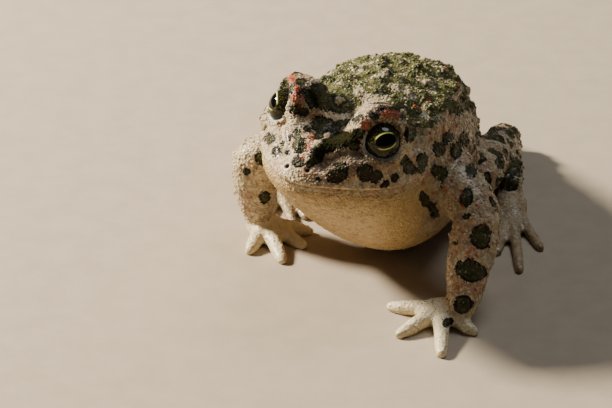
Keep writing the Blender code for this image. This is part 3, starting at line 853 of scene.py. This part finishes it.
# %% Ragged edges, kept as attributes
EDGE_WAVES = ((1.9, 0.34), (0.75, 0.16))
WAVE_SHIFT = 3.7
BLOTCH_SHIFT = 31.0
MARK_LIMIT = 3.0
SPOT_GROWTH = 0.1
BACK_UP = (0.25, 0.65)
BACK_FROM = (-2.4, -5.4)
BLOTCH_SIZE = 3.1
BLOTCH_LEVEL = -0.04
BLOTCH_SLOPE = 3.2
RIM_SIDE = (0.8, -0.6)
RIM_FACING = (-0.25, 0.35)
RIM_HELD = 0.9
LID_FRONT = 0.8
BROW_UP = 3.0
BROW_REACH = 2.6
THROAT_COLOUR_EDGE = (-0.2, -0.9)
FACE_FROM = (-6.5, -3.5)
MOUTH_END = 3.0
# The share of the wobble in an edge, and where the colour starts and is full
RED_WOBBLE = 0.5
# Edge of the painted shade in the hollows of the face
HOLLOW_SHADE_EDGE = (0.6, 0.35, -0.35)
# Edge of the painted brown shade on the cheek and brow
BROWN_SHADE_EDGE = (0.8, 0.7, -0.5)


def noise_at(points, size, shift):
    scale = 1 / (size * MM)
    return np.array([noise.noise(Vector(point) * scale + Vector((shift, 0, 0))) for point in points])


def keep(made, name, values):
    attribute = made.data.attributes.new(name, "FLOAT", "POINT")
    attribute.data.foreach_set("value", values.astype(np.float32))


wobble = sum(share * noise_at(points, size, WAVE_SHIFT * size) for size, share in EDGE_WAVES)
on_back = smooth_step(calm_out[:, 2], *BACK_UP) * smooth_step(head_space[:, 1], *BACK_FROM) * ~limb_mask
blotch = (BLOTCH_LEVEL - noise_at(points, BLOTCH_SIZE, BLOTCH_SHIFT)) * BLOTCH_SLOPE
blotch += MARK_LIMIT * (1 - on_back)
spots = np.minimum(np.minimum(marks["spot"], blotch), MARK_LIMIT)
beyond_corner = 1 - smooth_step(head_space[:, 1], *MOUTH_CORNER)
belly = underside(head_space, calm_out[:, 2], THROAT_COLOUR_EDGE)
lid_edge = np.full(len(points), NO_MARK)
brow = np.zeros(len(points))
for side in (1, -1):
    axis = np.array(eye_axis(side))
    away = (points - np.array(EYES[side])) / MM
    brow = np.maximum(brow, bell(lengths(away - HEAD_AXES[2] * BROW_UP), BROW_REACH))
    along = away @ axis
    radial = away - np.outer(along, axis)
    radial /= np.maximum(lengths(radial), 1e-6)[:, None]
    lower_front = radial @ (HEAD_AXES[1] * RIM_SIDE[0] + HEAD_AXES[2] * RIM_SIDE[1])
    held = RIM_HELD * (1 - smooth_step(lower_front, *RIM_FACING))
    reach = lengths(away) - BALL_RADIUS
    lid_edge = np.where(along > LID_FRONT, np.minimum(lid_edge, reach + held), lid_edge)
owner = nearest_node(points)
fields = {
    "spot": spots + wobble - SPOT_GROWTH,
    "red": np.minimum(marks["red"], MARK_LIMIT) + RED_WOBBLE * wobble,
    # Share of the painted shade of the face's hollows
    "hollow_shade": smooth_step(marks["hollow_shade"] + HOLLOW_SHADE_EDGE[0] * wobble, *HOLLOW_SHADE_EDGE[1:]),
    # Share of the painted brown shade on the cheek and brow
    "brown_shade": smooth_step(marks["brown_shade"] + BROWN_SHADE_EDGE[0] * wobble, *BROWN_SHADE_EDGE[1:]),
    "belly": belly,
    "mouth": np.abs(mouth_height(head_space)) + MOUTH_END * beyond_corner,
    "lid": lid_edge,
    "nostril": nostril_distance,
    "raised": np.einsum("ij,ij->i", points - calm_points, calm_out) / MM,
    "paw": on_nodes(owner, "hand").astype(float),
    "foot": on_nodes(owner, "foot").astype(float),
    "back": on_back,
    "brow": brow,
    "face": smooth_step(head_space[:, 1], *FACE_FROM),
}
for name, values in fields.items():
    keep(skin, name, values)
    print(name, "from", round(float(values.min()), 2), "to", round(float(values.max()), 2))

# %% [markdown]
# Between the warts a toad is covered with tiny granules, each a low pale-tipped dome of horny
# skin. They are far too many to model one by one and too fine for the skin's own mesh. One
# dome of eighteen faces is made from arrays and repeated into four joined meshes, and each copy
# takes the markings of the skin that it sits on, so the same material fits both.

# %% Granules
GRANULE_SEED = 8
GRANULES = {"head": 8400, "back": 9600, "limbs": 8400, "belly": 7000}
PART_SCALE = {"head": 0.7, "back": 1.0, "limbs": 0.85, "belly": 0.62}
GRANULE_RADII = (0.12, 0.38)
GRANULE_RISE = 0.66
GRANULE_SINK = 0.12
GRANULE_SPREAD = (1.3, 2.6)
GRANULE_SHIFT = 0.5
# How thickly they stand below, how much more above, and between which facings or heights
UP_SHARE = (0.55, 0.45, (-0.1, 0.7))
HEAD_SHARE = (0.4, 0.6, (-3.5, 0.5))
FACE_SHARE = 0.3
PAW_SHARE = 0.6
UNDER_FROM = 0.3
HEAD_END = -7.5
# How near to a fine form of the face, or to the floor, no granule stands
BARE = {"nostril": 0.9, "eardrum": 0.05, "mouth": 0.4, "lid": 0.3, "floor": 0.6, "limb floor": 1.2}
TIP_POWER = 1.6
DOME_SIDES = 6
DOME_RINGS = ((0.62, 0.74), (1.0, 0.0))
ASKEW = (0.3, 0.9, 0.2)


def thickness(values, low, more, edge):
    return low + more * smooth_step(values, *edge)


def dome_shape():
    """Corners and faces of a dome of radius one: a tip and two rings."""
    corners = [(0, 0, 1)]
    for radius, height in DOME_RINGS:
        for step in range(DOME_SIDES):
            angle = 2 * math.pi * step / DOME_SIDES
            corners.append((radius * math.cos(angle), radius * math.sin(angle), height))
    faces = []
    for step in range(DOME_SIDES):
        following = (step + 1) % DOME_SIDES
        faces.append((0, 1 + step, 1 + following))
        faces.append((1 + step, 1 + DOME_SIDES + step, 1 + DOME_SIDES + following))
        faces.append((1 + step, 1 + DOME_SIDES + following, 1 + following))
    return np.array(corners), np.array(faces)


def dome_field(name, chosen, radii, seed):
    """One joined mesh of domes standing on the chosen points of the skin."""
    shape, faces = dome_shape()
    grain = np.random.default_rng(seed)
    up = out[chosen]
    side = np.cross(up, np.array(ASKEW))
    side /= lengths(side)[:, None]
    other = np.cross(up, side)
    turn = grain.uniform(0, 2 * math.pi, len(chosen))[:, None]
    first = side * np.cos(turn) + other * np.sin(turn)
    second = np.cross(up, first)
    width = radii[:, None] * MM
    height = radii[:, None] * GRANULE_RISE * MM
    shift = grain.uniform(-GRANULE_SHIFT, GRANULE_SHIFT, (2, len(chosen), 1)) * VOXEL
    base = points[chosen] - up * GRANULE_SINK * height + side * shift[0] + other * shift[1]
    corners = base[:, None, :]
    for column, reach in zip(shape.T, (first * width, second * width, up * height)):
        corners = corners + column[None, :, None] * reach[:, None, :]
    corners = np.clip(corners, BOX_LOW, BOX_HIGH)
    count = len(shape)
    indices = faces[None, :, :] + (np.arange(len(chosen)) * count)[:, None, None]
    mesh = bpy.data.meshes.new(name)
    mesh.from_pydata(corners.reshape(-1, 3).tolist(), [], indices.reshape(-1, 3).tolist())
    mesh.shade_smooth()
    made = add_object(name, mesh)
    for field, values in fields.items():
        keep(made, field, np.repeat(values[chosen], count))
    bright = grain.random(len(chosen)) ** TIP_POWER
    keep(made, "tip", np.outer(bright, shape[:, 2]).ravel())
    return made


out = normals(skin)
grain = np.random.default_rng(GRANULE_SEED)
smooth_places = (nostril_distance < BARE["nostril"]) | (eardrum_distance < BARE["eardrum"])
smooth_places |= (fields["mouth"] < BARE["mouth"]) | (lid_edge < BARE["lid"])
smooth_places |= points[:, 2] < BARE["floor"] * MM
under_part = belly > UNDER_FROM
head_part = (head_space[:, 1] > HEAD_END) & ~under_part & ~limb_mask
parts = {
    "head": head_part,
    "back": ~head_part & ~limb_mask & ~under_part,
    "limbs": limb_mask & (points[:, 2] > BARE["limb floor"] * MM),
    "belly": under_part & ~limb_mask,
}
granules = []
for part, count in GRANULES.items():
    allowed = np.nonzero(parts[part] & ~smooth_places)[0]
    share = thickness(out[allowed, 2], *UP_SHARE)
    share = share * np.where(paws[allowed], PAW_SHARE, 1.0)
    if part == "head":
        share = share * thickness(head_space[allowed, 2], *HEAD_SHARE)
        share = share * np.where(head_space[allowed, 1] > FACE_BACK, FACE_SHARE, 1.0)
    chosen = grain.choice(allowed, size=min(count, len(allowed)), replace=False, p=share / share.sum())
    radii = grain.beta(*GRANULE_SPREAD, len(chosen))
    radii = GRANULE_RADII[0] + (GRANULE_RADII[1] - GRANULE_RADII[0]) * radii
    radii *= PART_SCALE[part] * np.where(paws[chosen], PAW_SHARE, 1.0)
    granules.append(dome_field("granules_" + part, chosen, radii, GRANULE_SEED + len(granules)))
print({made.name: len(made.data.polygons) for made in granules})

# %% [markdown]
# Each eyeball is a ball with a bulging cornea. The picture shows a horizontal pupil with a thin
# bright ring above and below it, on a nearly black iris flecked with gold. The pattern is drawn
# by the material on the eye's own flat map, laid out in millimetres round the pupil.

# %% Eyeballs
CORNEA_RISE = 0.5
CORNEA_HALF_ANGLE = 56.0
CORNEA_POWER = 1.5
MAP_SIZE = 24.0
PUPIL_TILT = 12.0


def eyeball(name, side):
    axis = eye_axis(side)
    level = UPWARD.cross(axis).normalized()
    rise = axis.cross(level)
    bpy.ops.mesh.primitive_uv_sphere_add(segments=64, ring_count=48, radius=BALL_RADIUS * MM)
    made = bpy.context.object
    made.name = made.data.name = name
    mesh = made.data
    turn = Matrix((level, rise, axis)).transposed()
    flat = {}
    for vert in mesh.vertices:
        unit = vert.co.normalized()
        angle = math.degrees(math.acos(max(-1.0, min(1.0, unit.z))))
        share = max(0.0, 1 - (angle / CORNEA_HALF_ANGLE) ** 2)
        radius = BALL_RADIUS + CORNEA_RISE * share**CORNEA_POWER
        around = math.atan2(unit.y, unit.x)
        spread = math.radians(angle) * BALL_RADIUS
        turned = around - math.radians(PUPIL_TILT) * side
        place = spread * math.cos(turned), spread * math.sin(turned)
        flat[vert.index] = [part / MAP_SIZE + 0.5 for part in place]
        vert.co = EYES[side] + turn @ (unit * radius * MM)
    layer = mesh.uv_layers.active or mesh.uv_layers.new(name="eye_map")
    layer.name = "eye_map"
    for loop in mesh.loops:
        layer.data[loop.index].uv = flat[loop.vertex_index]
    mesh.shade_smooth()
    return made


eyeballs = {side: eyeball("eyeball_left" if side > 0 else "eyeball_right", side) for side in (1, -1)}
print({made.name: len(made.data.polygons) for made in eyeballs.values()})

# %% [markdown]
# The materials are built from a few small helpers: one adds a node and fills its inputs, others
# wrap arithmetic, soft steps and the mixing of colours, so each layer reads as one line. They
# add their node to the tree of the socket that they are given first.

# %% Helpers for materials


def new_material(name):
    made = bpy.data.materials.new(name)
    made.use_nodes = True
    made.node_tree.nodes.clear()
    return made, made.node_tree


def fill(socket, value):
    if isinstance(value, bpy.types.NodeSocket):
        socket.id_data.links.new(value, socket)
    else:
        socket.default_value = value


def node(tree, kind, inputs, **settings):
    made = tree.nodes.new("ShaderNode" + kind)
    for key, value in settings.items():
        setattr(made, key, value)
    for key, value in inputs.items():
        fill(made.inputs[key], value)
    return made


def field(tree, name):
    return node(tree, "Attribute", {}, attribute_name=name).outputs["Fac"]


def calc(operation, *values):
    tree = values[0].id_data
    return node(tree, "Math", dict(enumerate(values)), operation=operation).outputs[0]


def times(first, second):
    return calc("MULTIPLY", first, second)


def linear(value, slope, start):
    """The straight line slope * value + start."""
    return calc("MULTIPLY_ADD", value, slope, start)


def step(value, low, high, start=0.0, end=1.0):
    """A soft step from start to end, while the value goes from low to high."""
    inputs = {"Value": value, "From Min": low, "From Max": high, "To Min": start, "To Max": end}
    return node(value.id_data, "MapRange", inputs, interpolation_type="SMOOTHSTEP").outputs[0]


def blend(share, first, second):
    made = node(share.id_data, "Mix", {0: share}, data_type="RGBA")
    for place, colour in ((6, first), (7, second)):
        fill(made.inputs[place], (*colour, 1) if isinstance(colour, tuple) else colour)
    return made.outputs[2]


def lay(colour, *layers):
    """A colour with others laid over it in turn, each given as its share and itself."""
    for share, over in layers:
        colour = blend(share, colour, over)
    return colour


def noise_value(place, size):
    inputs = {"Vector": place, "Scale": 1 / (size * MM), "Detail": 3.0, "Roughness": 0.55}
    return node(place.id_data, "TexNoise", inputs).outputs["Fac"]


def bump(height, distance, strength, **normal):
    inputs = {"Height": height, "Distance": distance * MM, "Strength": strength, **normal}
    return node(height.id_data, "Bump", inputs).outputs[0]


def dress(pieces, material, inputs):
    """Ends a material with its shader and gives it to the pieces."""
    tree = material.node_tree
    shader = node(tree, "BsdfPrincipled", inputs)
    node(tree, "OutputMaterial", {"Surface": shader.outputs[0]})
    for made in pieces:
        made.data.materials.clear()
        made.data.materials.append(material)
    print(material.name, "nodes:", len(tree.nodes))


print("material helpers ready")

# %% [markdown]
# The colours are laid in three steps. First comes the skin between the spots. It is cream and a
# little pink on the head, greyer on the flanks and the back, tan on the throat and belly, and pale
# yellow on the hands. Brown painted shade lies on the near cheek and beside the far brow, and a
# dull painted shade on the feet.

# %% Skin between the spots
CREAM = (0.60, 0.49, 0.30)
PINKISH = (0.50, 0.31, 0.175)
GREYISH = (0.25, 0.18, 0.10)
BACK_PALE = (0.29, 0.245, 0.14)
FLANK_GREY = (0.19, 0.15, 0.088)
TAN = (0.47, 0.31, 0.108)
TAN_DARK = (0.34, 0.20, 0.075)
HAND = (0.68, 0.58, 0.37)
# Painted shade laid over the feet, and its share below
FOOT_SHADE = (0.24, 0.17, 0.085)
PALE_TIP = (0.74, 0.62, 0.44)
CREASE_BROWN = (0.13, 0.080, 0.040)
# Painted brown shade for the near cheek and the far brow
CHEEK_SHADE_BROWN = (0.165, 0.090, 0.046)
NOISE_SIZES = (3.2, 1.1, 0.42, 0.3)
CELLS = {"Scale": 1 / (0.5 * MM), "Smoothness": 0.35}
FLANK_SHARE = 0.42
PALE_SHARE = 0.85
FOOT_SHADE_SHARE = 0.5

skin_material, tree = new_material("toad_skin")
place = node(tree, "TexCoord", {}).outputs["Object"]
mark = {name: field(tree, name) for name in (*fields, "tip")}
broad, middle, grit, fine = [noise_value(place, size) for size in NOISE_SIZES]
cells = node(tree, "TexVoronoi", {"Vector": place, **CELLS}, feature="SMOOTH_F1").outputs["Distance"]

under = blend(step(middle, 0.46, 0.66, 0.0, 0.6), TAN, TAN_DARK)
creases = times(step(cells, 0.3, 0.62, 0.0, 0.5), step(middle, 0.3, 0.6, 0.35, 1.0))
softer = calc("MAXIMUM", mark["belly"], mark["paw"])
creases = times(creases, linear(softer, -0.7, 1.0))
plain_skin = lay(
    CREAM,
    (step(broad, 0.42, 0.62), PINKISH),
    (step(middle, 0.5, 0.68, 0.0, 0.55), GREYISH),
    (linear(mark["face"], -FLANK_SHARE, FLANK_SHARE), FLANK_GREY),
    (mark["belly"], under),
    (times(mark["back"], PALE_SHARE), BACK_PALE),
    # Painted brown shade over the near cheek and the far brow
    (times(mark["brown_shade"], PALE_SHARE), CHEEK_SHADE_BROWN),
    (mark["paw"], HAND),
    # Painted shade over the feet
    (times(mark["foot"], FOOT_SHADE_SHARE), FOOT_SHADE),
    (step(fine, 0.35, 0.7, 0.0, 0.175), PALE_TIP),
    (creases, CREASE_BROWN),
)
print("nodes under the spots:", len(tree.nodes))

# %% [markdown]
# The markings come next: dark freckles on the face and brows, olive spots with black borders,
# and brick-red patches. The spots are browner on the lips and deeper everywhere but on the back,
# where their borders fade. Fine noise frays all the edges.

# %% Markings of the skin
OLIVE = (0.050, 0.052, 0.014)
OLIVE_PALE = (0.105, 0.100, 0.032)
OLIVE_DEEP = (0.014, 0.016, 0.005)
UMBER = (0.040, 0.021, 0.010)
EDGE = (0.010, 0.008, 0.005)
BRICK = (0.20, 0.026, 0.010)
ORANGE = (0.48, 0.11, 0.035)
BROW_BROWN = (0.085, 0.042, 0.026)
SPOT_FRAY = 0.5
RED_FRAY = 0.4
DEEP_SHARE = 0.55
LIP_SHARE = 0.65
BORDER_FADE = 0.7

fray = calc("SUBTRACT", fine, 0.5)
ragged = linear(fray, SPOT_FRAY, mark["spot"])
red_ragged = linear(fray, RED_FRAY, mark["red"])
inside = step(ragged, 0.04, -0.04)
freckles = times(step(grit, 0.6, 0.66, 0.0, 0.7), mark["face"])
freckles = times(freckles, step(mark["belly"], 0.3, 0.0))
brow_dark = times(step(grit, 0.4, 0.56, 0.0, 0.85), step(mark["brow"], 0.08, 0.5))
on_lip = times(mark["face"], step(mark["mouth"], 3.6, 2.2))
border = times(step(ragged, -0.42, -0.2), linear(mark["back"], -BORDER_FADE, 1.0))
core = lay(
    OLIVE,
    (step(middle, 0.4, 0.62), OLIVE_PALE),
    (linear(mark["back"], -DEEP_SHARE, DEEP_SHARE), OLIVE_DEEP),
    (times(on_lip, LIP_SHARE), UMBER),
    (border, EDGE),
)
marked = lay(
    plain_skin,
    (freckles, UMBER),
    (brow_dark, BROW_BROWN),
    (inside, core),
    (
        step(red_ragged, 0.12, -0.12, 0.0, 0.9),
        blend(step(middle, 0.38, 0.62), BRICK, ORANGE),
    ),
)
print("nodes with the markings:", len(tree.nodes))

# %% [markdown]
# Last come the pale tips of warts and granules, the painted shade that turns the hollows of the
# face nearly black, the rims of the lids, and painted shade in the nostrils and along the mouth.
# Light sinks into moist skin a little before it comes back, and the damp surface carries many
# small highlights. The shaded hollows are left without them, since their shine at a low angle
# would turn black to grey.

# %% Tips, hollows and shine of the skin
LID_RIM = (0.40, 0.47, 0.46)
# Painted shade for the inside of the nostrils and the groove of the mouth
OPENING_SHADE = (0.02, 0.014, 0.010)
# Nearly black painted shade for the hollows of the face, and how much of it is laid
HOLLOW_SHADE_BLACK = (0.010, 0.010, 0.004)
HOLLOW_SHADE_SHARE = 0.86
HOLLOW_ROUGH = 0.85
SUBSURFACE = 0.12
SPECULAR = (0.33, 0.22)
COAT = 0.18

tips = times(step(mark["raised"], 0.28, 0.62, 0.0, 0.6), step(cells, 0.5, 0.15))
speckle = times(step(cells, 0.2, 0.06, 0.0, 0.42), linear(inside, -0.5, 1.0))
speckle = times(speckle, step(mark["belly"], 1.0, 0.4))
caps = calc("MAXIMUM", linear(inside, -0.55, 0.75), times(mark["back"], 0.58))
# Fewer pale caps on the brows and under the painted brown shade
held_back = calc("MAXIMUM", mark["brow"], mark["brown_shade"])
caps = times(caps, linear(held_back, -0.6, 1.0))
colour = lay(
    marked,
    (tips, PALE_TIP),
    (speckle, PALE_TIP),
    (times(step(mark["tip"], 0.45, 0.85), caps), PALE_TIP),
    # Painted shade turns the hollows of the face nearly black
    (times(mark["hollow_shade"], HOLLOW_SHADE_SHARE), HOLLOW_SHADE_BLACK),
    (step(mark["lid"], 0.52, 0.34, 0.0, 0.8), LID_RIM),
    # Painted shade in the nostril pits and along the mouth's groove
    (step(mark["nostril"], 0.42, 0.22), OPENING_SHADE),
    (step(mark["mouth"], 0.13, 0.03, 0.0, 0.6), OPENING_SHADE),
)
gloss = step(middle, 0.3, 0.7, 0.34, 0.52)
lit = linear(mark["hollow_shade"], -1.0, 1.0)
inputs = {
    "Base Color": colour,
    "Roughness": calc("MAXIMUM", gloss, times(mark["hollow_shade"], HOLLOW_ROUGH)),
    "Normal": bump(fine, 0.06, 0.6, Normal=bump(cells, 0.14, 0.8)),
    "Subsurface Weight": times(lit, SUBSURFACE),
    "Subsurface Radius": (1.0, 0.45, 0.25),
    "Subsurface Scale": 0.0009,
    "Specular IOR Level": times(lit, linear(inside, -SPECULAR[1], SPECULAR[0])),
    "Coat Weight": times(lit, COAT),
    "Coat Roughness": 0.15,
}
dress([skin] + granules, skin_material, inputs)

# %% [markdown]
# The iris is nearly black with branching gold-green flecks. The pupil is a level oval, blacker
# still, and its ring is brightest above and below. The clear cornea gives the wet highlight.

# %% Eyes
PUPIL = (1.26, 0.86)
PUPIL_POWER = 2.2
RING = (0.22, 0.08)
IRIS_EDGE = (2.9, 3.15)
IRIS_DARK = (0.006, 0.005, 0.003)
IRIS_FLECK = (0.125, 0.112, 0.034)
IRIS_RIM = (0.03, 0.025, 0.02)
RING_COLOUR = (0.56, 0.60, 0.15)
PUPIL_BLACK = (0.002, 0.002, 0.002)
FLECKS = {"Scale": 3.8, "Detail": 6.0, "Roughness": 0.62, "Distortion": 1.4}


def bent(value, half_width):
    share = calc("ABSOLUTE", calc("DIVIDE", value, half_width))
    return calc("POWER", share, PUPIL_POWER)


eye_material, tree = new_material("toad_eye")
chart = node(tree, "UVMap", {}, uv_map="eye_map").outputs[0]
centred = node(tree, "VectorMath", {0: chart, 1: (0.5, 0.5, 0)}, operation="SUBTRACT").outputs[0]
flat = node(tree, "VectorMath", {0: centred, 3: MAP_SIZE}, operation="SCALE").outputs[0]
across, up = node(tree, "SeparateXYZ", {0: flat}).outputs[:2]
oval = calc("ADD", bent(across, PUPIL[0]), bent(up, PUPIL[1]))
oval = calc("SUBTRACT", calc("POWER", oval, 1 / PUPIL_POWER), 1.0)
beyond = times(oval, PUPIL[1])
out_from = node(tree, "VectorMath", {0: flat}, operation="LENGTH").outputs["Value"]
flecks = node(tree, "TexNoise", {"Vector": flat, **FLECKS}).outputs["Fac"]
fade = linear(step(out_from, 2.9, 1.7), 0.6, 0.25)
upright = calc("ABSOLUTE", calc("DIVIDE", up, calc("MAXIMUM", out_from, 0.01)))
colour = lay(
    IRIS_DARK,
    (times(step(flecks, 0.53, 0.65), fade), IRIS_FLECK),
    (times(step(beyond, *RING), step(upright, 0.3, 0.68, 0.03, 1.0)), RING_COLOUR),
    (step(beyond, 0.02, -0.02), PUPIL_BLACK),
    (step(out_from, *IRIS_EDGE), IRIS_RIM),
)
inputs = {
    "Base Color": colour,
    "Roughness": 0.5,
    "Specular IOR Level": 0.0,
    "Coat Weight": 1.0,
    "Coat Roughness": 0.02,
    "Coat IOR": 1.33,
}
dress(eyeballs.values(), eye_material, inputs)

# %% [markdown]
# The toad is shown on a plain pale floor. Warm light comes from the left, as in the picture, and
# leaves the near cheek and flank in soft shade. A wide cool light from behind and above draws the
# edge of the back and the sheen on top of the eyes.

# %% Floor and light
FLOOR_SIZE = 3.0
FLOOR_COLOURS = ((0.37, 0.305, 0.225), (0.40, 0.33, 0.245))
LIGHTS = (
    ("key", (-0.45, 0.13, 0.33), 0.10, 13.2, (1.0, 0.91, 0.75)),
    ("sky", (0.14, 0.18, 0.52), 0.30, 1.2, (0.90, 0.94, 1.0)),
)
WORLD_LIGHT = {"Color": (1.0, 0.97, 0.93, 1), "Strength": 0.07}

bpy.ops.mesh.primitive_plane_add(size=FLOOR_SIZE)
floor = bpy.context.object
floor.name = floor.data.name = "floor"
floor_material, tree = new_material("floor")
place = node(tree, "TexCoord", {}).outputs["Object"]
colour = blend(step(noise_value(place, 4.0), 0.3, 0.7), *FLOOR_COLOURS)
dress([floor], floor_material, {"Base Color": colour, "Roughness": 0.85})
for name, place, size, power, colour in LIGHTS:
    lamp = bpy.data.lights.new(name, "AREA")
    lamp.shape = "DISK"
    lamp.size = size
    lamp.energy = power
    lamp.color = colour
    made = add_object(name, lamp)
    made.location = place
    made.rotation_mode = "QUATERNION"
    made.rotation_quaternion = (-Vector(place)).to_track_quat("-Z", "Y")
world = bpy.data.worlds.new("studio")
bpy.context.scene.world = world
world.use_nodes = True
for name, value in WORLD_LIGHT.items():
    world.node_tree.nodes["Background"].inputs[name].default_value = value
print("lights:", len(LIGHTS))

# %% [markdown]
# Each piece is tied to the frame: it rides on the one body and stands for the nodes that it
# hides. The skin stands for all the flesh at once.

# %% Tie the pieces to the frame
for made in [skin] + granules:
    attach(made, "root")
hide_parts(*FLESH)
for side, made in eyeballs.items():
    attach(made, "root")
    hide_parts("eye_left" if side > 0 else "eye_right")
